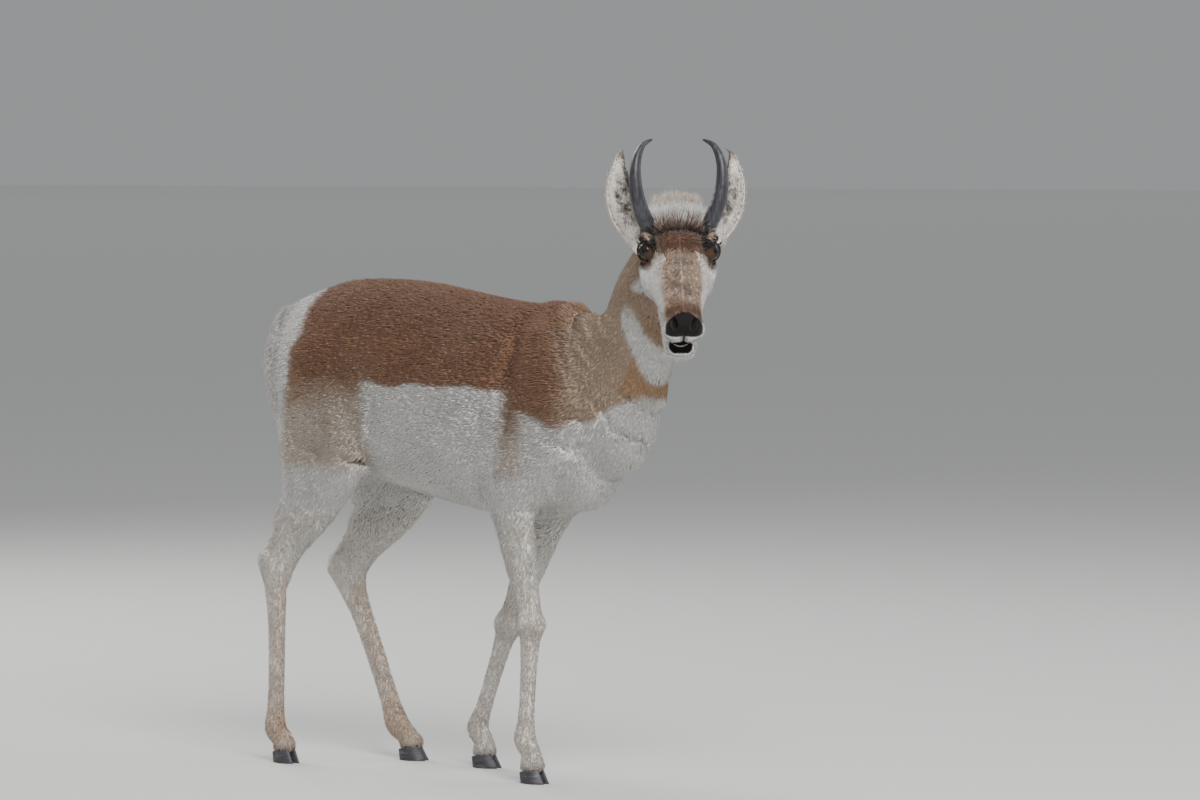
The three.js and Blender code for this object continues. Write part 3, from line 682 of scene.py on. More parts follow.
def surface(field, low, high, cell, coarse=4):
    """Quads on the zero of a field, worked out in full only near it."""
    count = np.ceil((high - low) / cell / coarse).astype(int) * coarse + 1
    big = [low[k] + np.arange(0, count[k], coarse) * cell for k in range(3)]
    grid = np.stack(np.meshgrid(*big, indexing="ij"), -1).reshape(-1, 3)
    rough = field(grid).reshape([len(b) for b in big])
    values = rough
    for axis in range(3):
        values = np.repeat(values, coarse, axis)
    values = np.sign(values[:count[0], :count[1], :count[2]]) * 3 * cell
    near = np.abs(rough) < coarse * cell * 2.1
    cells = np.argwhere(near)
    offsets = np.stack(np.meshgrid(*[np.arange(coarse)] * 3, indexing="ij"), -1).reshape(-1, 3)
    index = (cells[:, None, :] * coarse + offsets[None]).reshape(-1, 3)
    index = index[np.all(index < count, axis=1)]
    values[tuple(index.T)] = field(low + index * cell)
    volume = openvdb.FloatGrid(background=3 * cell)
    volume.copyFromArray(np.clip(values, -3 * cell, 3 * cell).astype(np.float32))
    points, quads = volume.convertToQuads(isovalue=0.0)
    return points * cell + low, quads[:, ::-1]


def settle(field, points, turns=3, most=2.0):
    for _ in range(turns):
        g = slope(field, points)
        steep = np.maximum((g * g).sum(1), 0.15)
        move = -(field(points) / steep)[:, None] * g
        size = np.linalg.norm(move, axis=1, keepdims=True)
        points = points + move * np.minimum(1, most / np.maximum(size, 1e-6))
    return points


# Markings: one function of place that colours the skin and the coat alike
RUST, RUST_DARK = (0.300, 0.140, 0.066), (0.205, 0.094, 0.048)
TAN, SAND, CREAM = (0.40, 0.255, 0.160), (0.53, 0.395, 0.285), (0.70, 0.61, 0.52)
WHITE, LEG_WHITE, ORANGE = (0.88, 0.865, 0.84), (0.86, 0.83, 0.78), (0.50, 0.29, 0.145)
BROWN, NEAR_BLACK, GREY = (0.125, 0.058, 0.032), (0.010, 0.008, 0.008), (0.24, 0.20, 0.175)


def wobble(p, size, seed):
    """Smooth noise from a few sine waves, about -1 to 1."""
    waves = np.random.default_rng(seed)
    total = np.zeros(len(p))
    for _ in range(7):
        direction = unit(waves.normal(size=3))
        along = p @ direction * (2 * math.pi / size)
        total += np.sin(along * waves.uniform(0.6, 1.6) + waves.uniform(0, 6.3))
    return total / 3.2


def paint(colour, over, share):
    share = (np.clip(share, 0, 1) * np.ones(len(colour)))[:, None]
    return colour * (1 - share) + np.asarray(over) * share


FLANK_LINE, THIGH_LINE, SHOULDER_LINE = 736, 694, 640
FLANK_BACK, FLANK_FRONT = -128, 236
RUMP_FRONT = -276


def body_colour(p):
    """Rust above, white below, with a straight flank and softer thigh and shoulder edges."""
    f, l, u = forward(p), p[:, 0], p[:, 2]
    left = np.abs(l)
    big, small = wobble(p, 260, 1), wobble(p, 60, 2)
    c = np.tile(np.array(RUST), (len(p), 1))
    c = paint(c, TAN, 0.22 + 0.2 * big)
    # darker along the back
    spine = smooth(800, 900, u + 6 * small) * smooth(-400, -300, f) * smooth(330, 250, f)
    c = paint(c, RUST_DARK, 0.55 * spine)
    # the neck and the front of the shoulder are paler
    c = paint(c, SAND, smooth(298, 352, f + 0.15 * (u - 769) + 6 * small))
    # under parts fade from rust through sand to white, sharply over the flank
    edge_flank = FLANK_LINE + 4 * small - 0.03 * f
    edge_thigh = THIGH_LINE + 14 * small
    edge_shoulder = SHOULDER_LINE + 18 * small
    place = f + 4 * small
    flank = smooth(FLANK_BACK, FLANK_BACK + 36, place) * smooth(FLANK_FRONT, FLANK_FRONT - 40, place)
    white_flank = flank * smooth(edge_flank + 6, edge_flank - 7, u)
    behind = smooth(FLANK_BACK + 36, FLANK_BACK, f)
    thigh = behind * smooth(edge_thigh + 45, edge_thigh - 45, u)
    ahead = smooth(190, 232, f)
    shoulder = ahead * smooth(edge_shoulder + 50, edge_shoulder - 30, u)
    c = paint(c, SAND, behind * smooth(edge_thigh + 70, edge_thigh + 10, u) * 0.7)
    c = paint(c, CREAM, np.maximum(thigh, shoulder) * 0.9)
    c = paint(c, WHITE, np.maximum(white_flank, smooth(600, 560, u) * smooth(470, 500, u)))
    # belly and breast
    c = paint(c, WHITE, smooth(70, 30, left) * smooth(620, 560, u) * smooth(-300, -240, f))
    # rump patch
    back = f - 0.18 * (u - 780) - 5 * small
    c = paint(c, WHITE, smooth(RUMP_FRONT, RUMP_FRONT - 22, back) * smooth(600, 660, u))
    # legs
    leg = smooth(520, 440, u)
    c = paint(c, LEG_WHITE, leg * 0.92)
    c = paint(c, SAND, leg * (0.12 + 0.1 * small) * smooth(440, 300, u))
    return c


# Throat: edges as distances down the neck, each dropping with the distance towards its front
CRESCENT_TOP, CRESCENT_TOP_FRONT, CRESCENT_TOP_SLOPE = 80, 43, 1.22
CRESCENT_END, CRESCENT_END_FRONT, CRESCENT_END_SLOPE = 91, 11, 1.33
ORANGE_START, ORANGE_END = 150, 222
CHEST_SIDE, CHEST_SIDE_SLOPE, CHEST_BACK = 318.8, 0.19, -60
CHEST_TOP, CHEST_SLOPE, CHEST_END = 324, 1.49, 209


def neck_colour(c, p):
    """Bands of tan and white across the throat."""
    f, u = forward(p), p[:, 2]
    small, fine = wobble(p, 60, 2), wobble(p, 16, 12)
    # distance down the throat from the jaw, and towards the neck's front
    axis = unit(at(0.42, -0.05, 0.9))
    down = (on_head(-20, -95, 0) - p) @ axis
    front = (p - at(432, -8, 832)) @ unit(at(0.9, -0.25, -0.38))
    near = smooth(230, 290, f) * (1 - head_share(p)) * smooth(470, 500, u)
    side = smooth(300, 352, f + 0.15 * (u - 769))
    upper = CRESCENT_TOP + CRESCENT_TOP_SLOPE * (front - CRESCENT_TOP_FRONT)
    lower = CRESCENT_END + CRESCENT_END_SLOPE * (front - CRESCENT_END_FRONT)
    past = down - upper + 2 * fine
    c = paint(c, TAN, side * smooth(6, -10, past) * smooth(-6, 16, front) * near * 0.8)
    crescent = smooth(-5, 5, past) * smooth(6, -5, down - lower + 2 * fine) * smooth(2, 12, front)
    c = paint(c, WHITE, crescent * near)
    orange = smooth(-2, 8, down - np.maximum(lower, ORANGE_START)) * smooth(ORANGE_END, ORANGE_END - 14, down)
    c = paint(c, ORANGE, orange * smooth(38, 56, front) * near * 0.8)
    # the white chest's edge is nearly level at the side and climbs towards the front
    along_side = CHEST_SIDE - CHEST_SIDE_SLOPE * np.maximum(front, CHEST_BACK)
    line = np.maximum(np.minimum(along_side, CHEST_TOP - CHEST_SLOPE * front), CHEST_END)
    return paint(c, WHITE, smooth(-10, 8, down - line + 4 * small) * near)


def leg_colour(c, p):
    """Orange and grey pasterns, a line down each hind shank and a pale knee."""
    small = wobble(p, 40, 5)
    for side, joints in LEGS.values():
        hind = "hock" in joints
        fetlock, coronet = joints["fetlock"], joints["coronet"]
        q = p - at(coronet[0], side * coronet[1], 0)
        here = smooth(85, 60, np.linalg.norm(q[:, :2] * [1, 0.8], axis=1)) * (p[:, 2] < 200)
        tint = smooth(165, 60, p[:, 2] + 12 * small) * (0.5 if hind else 0.10)
        c = paint(c, ORANGE, here * tint)
        c = paint(c, GREY, here * smooth(46, 30, p[:, 2]) * 0.45)
        if hind:
            top = at(joints["hock"][0] + 16, side * joints["hock"][1], joints["hock"][2] - 20)
            low = at(fetlock[0] + 14, side * fetlock[1], fetlock[2])
            c = paint(c, ORANGE, 0.4 * stroke(p, [top, low], 22))
        else:
            knee = at(joints["knee"][0] + 14, side * joints["knee"][1], joints["knee"][2])
            c = paint(c, SAND, 0.42 * stroke(p, [knee + [0, 0, 26], knee - [0, 0, 18]], 22))
            # painted shade: a grey line down the hind edge of each forearm, from elbow to knee
            elbow, low = joints["elbow"], joints["knee"]
            a = at(elbow[0] - 26, side * (elbow[1] + 8), elbow[2] - 40)
            b = at(low[0] - 18, side * low[1], low[2] + 40)
            c = paint(c, GREY, 0.34 * stroke(p, [a, b], 16))
    return c


PAD_START = 157


def face_colour(p):
    """White cheeks, a tan and grey blaze, dark brows, eye rims, nose pad and lips."""
    a, o, s = in_head(p)
    left = np.abs(s)
    small, fine = wobble(p, 34, 8), wobble(p, 13, 9)
    c = np.tile(np.array(WHITE), (len(p), 1))
    # crown and nape
    c = paint(c, SAND, smooth(-46, -74, a + 4 * small))
    # stripe down the face, tan at its sides and grey in the middle
    stripe = smooth(34, 25, left + 4 * small - 0.05 * a) * smooth(-6, 8, o) * smooth(158, 150, a)
    c = paint(c, TAN, stripe * (0.85 + 0.15 * fine))
    c = paint(c, GREY, stripe * smooth(24, 8, left) * (0.45 + 0.3 * small))
    c = paint(c, BROWN, stripe * smooth(-0.2, 0.9, small + 0.4 * fine) * (0.35 + 0.3 * smooth(60, 140, a)))
    beside = smooth(52, 34, left) * smooth(24, 34, left) * smooth(150, 60, a) * smooth(0, 20, a)
    c = paint(c, SAND, beside * smooth(-10, 8, o) * 0.5)
    # dark band over the brows
    band = smooth(-26, -16, a + 3 * fine) * smooth(34, 14, a + 6 * fine) * smooth(4, 18, o)
    corner = smooth(30, 44, left) * smooth(-26, -14, a) * smooth(20, 8, a)
    c = paint(c, ORANGE, corner * smooth(-4, 12, o) * 0.8)
    c = paint(c, BROWN, band * smooth(52, 34, left) * 0.95)
    # white crown between the horns
    crown = smooth(-18, -27, a + 3 * fine) * smooth(-150, -136, a) * smooth(0, 10, o)
    c = paint(c, WHITE, crown * smooth(56, 46, left))
    # painted shade: grey over the middle of the forehead between the horns, behind the brows
    root = smooth(-12, -20, a) * smooth(-50, -30, a) * smooth(26, 8, left) * (0.22 + 0.2 * fine)
    c = paint(c, GREY, root * smooth(14, 24, o))
    # tan strip behind the white cheek, and painted shade in sand and tan along the underside of the jaw
    shade_under_jaw = smooth(-90, -102, o + 3 * small) * smooth(90, 60, a)
    strip = np.maximum(shade_under_jaw, smooth(-12, -26, a + 4 * small)) * smooth(-6, -20, o)
    c = paint(c, SAND, strip * 0.9)
    c = paint(c, TAN, strip * 0.5)
    c = paint(c, TAN, smooth(-52, -66, a - 0.25 * o + 4 * small) * 0.9 * smooth(34, 24, o))
    # sandy sides of the nose
    c = paint(c, SAND, smooth(118, 140, a) * smooth(166, 152, a) * smooth(-26, -10, o) * 0.45)
    # dark rims of the eyes: partly the lids' own dark skin, partly painted shade round the eye balls
    for side in (-1, 1):
        d = np.linalg.norm(p - eye_place(side), axis=1)
        q = (p - eye_place(side)) @ unit(MUZZLE * 0.6 - BROW * 0.2)
        c = paint(c, NEAR_BLACK, smooth(31, 26, d + 1.2 * fine))
        c = paint(c, BROWN, smooth(40, 27, d) * smooth(-2, 12, q) * 0.6)
    # nose pad
    pad = smooth(-2, 2, a - PAD_START - 0.016 * s * s - fine) * smooth(-18, -13, o) * smooth(36, 32, left)
    fringe = smooth(124, 150, a + 3 * fine) * smooth(-12, 2, o) * smooth(38, 28, left)
    c = paint(c, BROWN, fringe * 0.9)
    c = paint(c, NEAR_BLACK, pad)
    groove = smooth(178, 184, a) * smooth(4.0, 2.2, left) * smooth(-44, -38, o) * smooth(0, -8, o)
    c = paint(c, NEAR_BLACK, groove)
    # rims of the lips, and painted shade in near-black over the inside of the mouth
    return paint(c, NEAR_BLACK, smooth(2.2, 0.6, mouth(p)) * smooth(92, 112, a))


def colour_at(p):
    """The coat's colour at each point: the body's, the face's, and the white crown over both."""
    c = leg_colour(neck_colour(body_colour(p), p), p)
    share = head_share(p)
    here = share > 0.002
    if here.any():
        c[here] = c[here] * (1 - share[here, None]) + face_colour(p[here]) * share[here, None]
    a, o, s = in_head(p)
    crown = smooth(-18, -27, a) * smooth(-190, -170, a) * smooth(-14, 0, o) * smooth(60, 48, np.abs(s))
    near = smooth(215, 185, np.linalg.norm(p - EYES_AT, axis=1))
    return np.clip(paint(c, WHITE, crown * (1 - share) * near), 0, 1)


def set_colours(mesh, colours):
    layer = mesh.color_attributes.new("markings", "FLOAT_COLOR", "POINT")
    opaque = np.hstack([colours, np.ones((len(colours), 1))])
    layer.data.foreach_set("color", opaque.astype(np.float32).ravel())


def mesh_object(name, points, faces, look, colours=None, uv=None):
    """A mesh object from arrays; faces is an (n, 3) or (n, 4) array and points are in the frame."""
    mesh = bpy.data.meshes.new(name)
    faces = np.asarray(faces)
    corners = faces.shape[1]
    mesh.vertices.add(len(points))
    mesh.vertices.foreach_set("co", np.asarray(points, np.float32).ravel())
    mesh.loops.add(faces.size)
    mesh.loops.foreach_set("vertex_index", faces.ravel().astype(np.int32))
    mesh.polygons.add(len(faces))
    mesh.polygons.foreach_set("loop_start", np.arange(0, faces.size, corners, dtype=np.int32))
    mesh.polygons.foreach_set("loop_total", np.full(len(faces), corners, np.int32))
    mesh.update(calc_edges=True)
    mesh.validate()
    mesh.polygons.foreach_set("use_smooth", np.ones(len(faces), bool))
    if colours is not None:
        set_colours(mesh, colours)
    if uv is not None:
        layer = mesh.uv_layers.new(name="OFBake")
        layer.data.foreach_set("uv", uv.astype(np.float32).ravel())
    mesh.materials.append(look)
    obj = link(bpy.data.objects.new(name, mesh))
    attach(obj, "root")
    return obj


# Materials
def hair_look(name, grain):
    """Matt hair in the colours of the markings, with fine flecks and soft wide patches."""
    m, tree, shader = material(name)
    base = node(tree, "ShaderNodeAttribute", attribute_name="markings").outputs["Color"]
    place = node(tree, "ShaderNodeTexCoord").outputs["Object"]
    fleck = noise(tree, place, grain, 3.0)
    patch = noise(tree, place, 16.0, 3.0)

    def shade(source, dark, light):
        span = {"From Min": 0.3, "From Max": 0.7, "To Min": dark, "To Max": light}
        return node(tree, "ShaderNodeMapRange", {"Value": source.outputs["Fac"], **span}).outputs[0]
    both = times(tree, shade(fleck, 0.8, 1.14), shade(patch, 0.92, 1.06))
    tinted = node(tree, "ShaderNodeVectorMath", {0: base}, operation="SCALE")
    tree.links.new(both, tinted.inputs["Scale"])
    tree.links.new(tinted.outputs[0], shader.inputs["Base Color"])
    shader.inputs["Roughness"].default_value = 0.75
    shader.inputs["Sheen Weight"].default_value = 0.12
    shader.inputs["Specular IOR Level"].default_value = 0.1
    bump(tree, shader, fleck.outputs["Fac"], 0.5, 0.0012)
    return m


def keratin_look(name, stretch, grain, cloud, stops, roughness, strength):
    """Horn and hoof: a grain drawn out one way, times soft clouds; grain and cloud are (scale, detail)."""
    m, tree, shader = material(name)
    place = node(tree, "ShaderNodeTexCoord").outputs["Object"]
    drawn = node(tree, "ShaderNodeMapping", {"Vector": place, "Scale": stretch})
    fine = noise(tree, drawn.outputs[0], *grain).outputs["Fac"]
    wide = noise(tree, place, *cloud).outputs["Fac"]
    tree.links.new(ramp(tree, times(tree, fine, wide), stops), shader.inputs["Base Color"])
    shader.inputs["Roughness"].default_value = roughness
    bump(tree, shader, fine, strength, 0.0008)
    return m


skin_look = hair_look("skin", 420.0)
coat_look = hair_look("coat", 260.0)

# Skin: the body on a coarse grid, the head refined
low, high = np.array([-340.0, -800.0, 12.0]), np.array([230.0, 480.0, 1130.0])
points, quads = surface(skin_field, low, high, CELL)


def relax(points, faces, turns, held):
    """Evens out the small steps of the grid, growing back what each pass shrinks."""
    ring = np.vstack([faces[:, [k, (k + 1) % 4]] for k in range(4)])
    degree = np.maximum(np.bincount(ring[:, 0], minlength=len(points)), 1)[:, None]
    for turn in range(turns):
        pull = np.stack([np.bincount(ring[:, 0], points[ring[:, 1], k], len(points)) for k in range(3)], 1)
        weight = (0.55 if turn % 2 == 0 else -0.57) * held[:, None]
        points = points + weight * (pull / degree - points)
    return points


body_share = 1 - head_share(points)
points = relax(points, quads, 16, 0.15 + 0.85 * body_share)

HEAD_FACE, SETTLED_FACE = 0.5, 0.35
head_quads = head_share(points)[quads].min(1) > HEAD_FACE
body_faces = quads[~head_quads]
face_quads = quads[head_quads]
split = np.vstack([face_quads[:, [k, (k + 1) % 4]] for k in range(4)])
edges, which = np.unique(np.sort(split, axis=1), axis=0, return_inverse=True)
count = len(face_quads)
middles = points[edges].mean(1)
centres = points[face_quads].mean(1)
middle_of = len(points) + which.reshape(4, count)
centre_of = len(points) + len(edges) + np.arange(count)
fine_faces = np.vstack([
    np.stack([face_quads[:, k], middle_of[k], centre_of, middle_of[(k + 3) % 4]], 1) for k in range(4)])
# the ring of body faces that touches a split edge is fanned, so that no crack opens
split_edges = {tuple(e): len(points) + i for i, e in enumerate(edges.tolist())}
border, whole = [], []
for quad in body_faces.tolist():
    ring = []
    for k in range(4):
        a, b = quad[k], quad[(k + 1) % 4]
        ring.append(a)
        extra = split_edges.get((min(a, b), max(a, b)))
        if extra is not None:
            ring.append(extra)
    if len(ring) == 4:
        whole.append(ring)
    else:
        border += [(ring[0], ring[k], ring[k + 1]) for k in range(1, len(ring) - 1)]
all_points = np.vstack([points, middles, centres])
on_face = head_share(all_points) > SETTLED_FACE
all_points[on_face] = settle(skin_field, all_points[on_face], turns=2, most=1.2)
triangles = [(q[0], q[1], q[2]) for q in whole] + [(q[0], q[2], q[3]) for q in whole] + border
fine = fine_faces.tolist()
triangles += [(q[0], q[1], q[2]) for q in fine] + [(q[0], q[2], q[3]) for q in fine]
skin_triangles = np.array(triangles)
used, renumbered = np.unique(skin_triangles, return_inverse=True)
skin_points = all_points[used]
skin_triangles = renumbered.reshape(skin_triangles.shape)
side_a = skin_points[skin_triangles[:, 1]] - skin_points[skin_triangles[:, 0]]
side_b = skin_points[skin_triangles[:, 2]] - skin_points[skin_triangles[:, 0]]
if (np.cross(side_a, side_b) * skin_points[skin_triangles[:, 0]]).sum() < 0:
    skin_triangles = skin_triangles[:, ::-1]
skin_colours = colour_at(skin_points)
# painted shade: the skin between the locks is painted a tenth darker than the coat's colours
skin = mesh_object("skin", to_frame(skin_points), skin_triangles, skin_look, skin_colours * 0.9)
leg_nodes = [f"{leg}_{part}" for leg in LEGS for part in ("upper", "lower")]
flesh_nodes = ["trunk", "neck", "head", "tail"] + leg_nodes
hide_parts(*flesh_nodes)


# Closed lofts for the horns, ears, hooves and teeth
def loft(rings):
    """Points and triangles of a closed skin over rings of equal length."""
    rings = np.array(rings)
    rows, around = rings.shape[:2]
    index = np.arange(rows * around).reshape(rows, around)
    a, b = index[:-1], np.roll(index, -1, 1)[:-1]
    c, d = np.roll(index, -1, 1)[1:], index[1:]
    faces = [np.stack([a, b, c], -1).reshape(-1, 3), np.stack([a, c, d], -1).reshape(-1, 3)]
    ends = np.array([rings[0].mean(0), rings[-1].mean(0)])
    first, last = rows * around, rows * around + 1
    turn = np.roll(index, -1, 1)
    faces.append(np.stack([turn[0], index[0], np.full(around, first)], -1))
    faces.append(np.stack([index[-1], turn[-1], np.full(around, last)], -1))
    points, faces = np.vstack([rings.reshape(-1, 3), ends]), np.vstack(faces)
    p = points[faces]
    if np.einsum("ij,ij->i", p[:, 0], np.cross(p[:, 1], p[:, 2])).sum() < 0:
        faces = faces[:, ::-1]
    return points, faces


def curve(controls, count):
    """Evenly spaced points and directions along a smooth curve through the controls."""
    fine = refine(np.array(controls, float), 24)
    steps = np.linalg.norm(np.diff(fine, axis=0), axis=1)
    run = np.concatenate([[0], np.cumsum(steps)])
    where = np.linspace(0, run[-1], count)
    path = np.stack([np.interp(where, run, fine[:, k]) for k in range(fine.shape[1])], 1)
    return path, unit(np.gradient(path, axis=0))


def by_head(fore, up, left):
    return EYES_AT + FACING * fore + SKY * up + HEAD_LEFT * left


def horn_surface(side):
    path, along = curve([by_head(f - 10, u - 6, side * l) for f, u, l in (
        (-16, 39, 52), (0, 54, 55), (10, 90, 70), (13, 128, 78), (8, HORN_REACH, 77),
        (-4, HORN_REACH + 30, 65), (-16, HORN_REACH + 42, 46))], 110)
    rings = []
    angle = np.linspace(0, 2 * math.pi, 36, endpoint=False)
    for i, (centre, way) in enumerate(zip(path, along)):
        t = i / (len(path) - 1)
        across = unit(HEAD_LEFT - way * (HEAD_LEFT @ way))
        fore = np.cross(across, way)
        taper = 1 - 0.42 * t - 0.48 * t ** 4
        rough = smooth(0.75, 0.1, t)
        ring = (1 + 0.022 * rough * np.sin(t * 92 + 1.2 * np.sin(angle * 2 + side))
                + 0.03 * rough * np.sin(angle * 7 + 6 * t) + 0.02 * rough * np.sin(angle * 12 - 9 * t))
        rings.append(centre + across * (15.5 * taper * ring * np.cos(angle))[:, None]
                     + fore * (19 * taper * ring * np.sin(angle))[:, None])
    return loft(rings)


horn_look = keratin_look("horn", (1, 1, 0.12), (300.0, 4.0), (30.0, 3.0), [
    (0.12, (0.012, 0.012, 0.015)), (0.3, (0.035, 0.036, 0.043)), (0.5, (0.085, 0.085, 0.1))], 0.42, 0.5)

EAR_WIDTHS = [18, 20, 22.5, 25.5, 27.5, 27.5, 25.5, 22, 17, 10, 2.2]
EAR_TURN, EAR_BEND, EAR_SET = math.radians(22), 1.15, 8
EAR_ACROSS = 23


def ear_surface(side):
    path, along = curve([by_head(f, u, side * l) for f, u, l in (
        (-64, 6, 54), (-66, 34, 72), (-62, 70, 90), (-58, 112, 101), (-58, EAR_REACH, 102),
        (-60, EAR_REACH + 28, 96))], 64)
    look = FACING * math.cos(EAR_TURN) + HEAD_LEFT * side * math.sin(EAR_TURN)
    k = np.linspace(-1, 1, EAR_ACROSS)
    rings, facts = [], []
    for i, (centre, way) in enumerate(zip(path, along)):
        t = i / (len(path) - 1)
        fore = unit(look - way * (look @ way))
        across = np.cross(way, fore)
        wide = np.interp(t * 10, range(11), EAR_WIDTHS)
        cup = 0.85 - 0.25 * t
        hollow = smooth(0.1, 0.3, t) * 0.9 + 0.1
        thick = (2.6 + 1.8 * (1 - t)) * (1 + 2 * smooth(0.2, 0.05, t))
        reach = wide * np.sin(EAR_BEND * k) / math.sin(EAR_BEND)
        bulge = wide * cup * (np.cos(EAR_BEND * k) - math.cos(EAR_BEND))
        depth = bulge * hollow - EAR_SET - thick * (1 - 0.6 * k ** 4)
        outer = centre + across * reach[:, None] - fore * (bulge - EAR_SET)[:, None]
        inner = centre + across * (reach * 0.94)[:, None] - fore * depth[:, None]
        rings.append(np.vstack([outer, inner[::-1]]))
        facts += [np.stack([np.full(EAR_ACROSS, t), k, np.zeros(EAR_ACROSS)], 1),
                  np.stack([np.full(EAR_ACROSS, t), k[::-1], np.ones(EAR_ACROSS)], 1)]
    points, faces = loft(rings)
    facts = np.array(facts).reshape(len(rings), -1, 3)
    facts = np.vstack([facts.reshape(-1, 3), facts[0].mean(0), facts[-1].mean(0)])
    return points, faces, facts


def ear_colour(p, facts, side):
    """Tan back, pale spotted inside with painted shade in its hollow, dark tip; facts says how far up, how
    far across and whether inside.
    """
    t, k, inside = facts.T
    fine, small = wobble(p, 7, 21), wobble(p, 22, 22)
    inward = -k * side
    outer = paint(np.tile(np.array(TAN), (len(p), 1)), BROWN, smooth(0.62, 0.95, t) * 0.75)
    outer = paint(outer, SAND, smooth(0.5, 0.1, t) * 0.5)
    inner = np.tile(np.array(CREAM), (len(p), 1))
    inner = paint(inner, WHITE, 0.55)
    spots_and_shade = smooth(0.2, 0.4, t) * smooth(0.86, 0.66, t) * smooth(0.75, 0.35, np.abs(k + 0.12 * side))
    # painted shade: grey over the middle of the ear's hollow, with the ear's own dark speckles on it
    inner = paint(inner, GREY, spots_and_shade * (0.6 + 0.3 * small))
    inner = paint(inner, NEAR_BLACK, spots_and_shade * smooth(-0.1, 0.7, fine + 0.5 * small) * 0.85)
    c = outer * (1 - inside[:, None]) + inner * inside[:, None]
    rim = smooth(0.84, 0.97, np.abs(k))
    c = paint(c, CREAM, rim * smooth(0.7, 0.5, t) * 0.7)
    c = paint(c, NEAR_BLACK, smooth(0.7, 0.92, inward) * smooth(0.5, 0.64, t) * 0.85)
    return paint(c, BROWN, smooth(0.88, 0.98, t) * 0.7)


ears = {}
for side, name in ((-1, "right"), (1, "left")):
    points, faces = horn_surface(side)
    horn = mesh_object(f"horn_shape_{name}", to_frame(points), faces, horn_look)
    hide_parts(f"horn_{name}")
    points, faces, facts = ear_surface(side)
    ears[side] = points, faces, facts
    shell = mesh_object(f"ear_shape_{name}", to_frame(points), faces, skin_look,
                        ear_colour(points, facts, side))
    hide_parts(f"ear_{name}")

# Eyes
eye_look, tree, shader = material("eye")
base = node(tree, "ShaderNodeAttribute", attribute_name="markings").outputs["Color"]
tree.links.new(base, shader.inputs["Base Color"])
EYE_SHINE = {"Roughness": 0.12, "Specular IOR Level": 0.3, "Coat Weight": 0.35, "Coat Roughness": 0.02}
for key, value in EYE_SHINE.items():
    shader.inputs[key].default_value = value
IRIS, PUPIL, EYE_EDGE = (0.012, 0.007, 0.005), (0.004, 0.004, 0.005), (0.01, 0.007, 0.006)
for side, name in ((-1, "right"), (1, "left")):
    around, rows = 48, 32
    look = eye_look_way(side)
    level = unit(np.cross(SKY, look))
    upright = np.cross(look, level)
    angle = np.linspace(0, 2 * math.pi, around, endpoint=False)
    rings = []
    for polar in np.linspace(0.02, math.pi - 0.02, rows):
        bulge = 1 + 0.045 * math.exp(-(polar / 0.55) ** 2)
        rings.append(eye_place(side) + look * EYE_RADIUS * bulge * math.cos(polar)
                     + (level * np.cos(angle)[:, None] + upright * np.sin(angle)[:, None])
                     * EYE_RADIUS * bulge * math.sin(polar))
    points, faces = loft(rings)
    q = points - eye_place(side)
    x, y, z = q @ level, q @ upright, q @ look
    c = np.tile(np.array(IRIS), (len(points), 1))
    # a long level pupil
    c = paint(c, PUPIL, smooth(1.15, 0.85, np.sqrt((x / 8.5) ** 2 + (y / 4.2) ** 2)) * (z > 0))
    c = paint(c, EYE_EDGE, smooth(12.0, 13.5, np.hypot(x, y)))
    ball = mesh_object(f"eye_ball_{name}", to_frame(points), faces, eye_look, c)
    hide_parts(f"eye_{name}")

# Hooves
hoof_look = keratin_look("hoof", (0.3, 0.3, 2.4), (120.0, 3.0), (60.0, 4.0), [
    (0.12, (0.02, 0.02, 0.026)), (0.3, (0.05, 0.05, 0.06)), (0.45, (0.13, 0.12, 0.12))], 0.5, 0.4)
HOOF_LEVELS = (0, 0.02, 0.12, 0.3, 0.5, 0.7, 0.85, 0.95, 1.0)
HOOF_LENGTH, HOOF_TAPER, HOOF_LEAN, HOOF_AHEAD = 25, 7, 12, 6
CORONET_RISE, CORONET_SLOPE = 26.4, 0.316
CLAW_ASIDE, CLAW_WIDTH, CLAW_CLOSING = 10.8, 9.8, 3.2
for leg, (side, joints) in LEGS.items():
    f0, l0 = joints["coronet"][:2]
    toes = math.radians(4 if leg.startswith("fore") else 12)
    heading = at(math.cos(toes), side * math.sin(toes), 0)
    across = np.cross(SKY, heading)
    angle = np.linspace(0, 2 * math.pi, 40, endpoint=False)
    reach = np.cos(angle)
    ahead = np.maximum(reach, 0) ** 2
    for inner, which in ((1, "a"), (-1, "b")):
        rings = []
        for v in HOOF_LEVELS:
            height = np.full(len(angle), 25.0) * v
            # the ring's height and place depend on each other, so they are worked out three times over
            for _ in range(3):
                rise = height / 40
                length = HOOF_LENGTH - HOOF_TAPER * rise
                round_off = 1 - 0.035 * max(0, 1 - v / 0.02)
                swell = 1 + 0.05 * math.exp(-((v - 0.97) / 0.06) ** 2)
                toe = np.where(reach > 0, 3 * (1 - rise), 0)
                deep = length * reach * round_off - HOOF_LEAN * rise + toe
                wide = CLAW_WIDTH * np.sin(angle) * (1 - 0.45 * ahead) * round_off * swell
                aside = inner * (CLAW_ASIDE - CLAW_CLOSING * ahead + wide)
                ring = at(f0 + HOOF_AHEAD, side * l0, 0) + heading * deep[:, None] + across * aside[:, None]
                height = v * (CORONET_RISE + CORONET_SLOPE * (forward(ring) - f0))
            ring[:, 2] = height
            rings.append(ring)
        points, faces = loft(rings)
        hoof = mesh_object(f"hoof_{leg}_{which}", to_frame(points), faces, hoof_look)
        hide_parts(f"{leg}_claw_{which}")

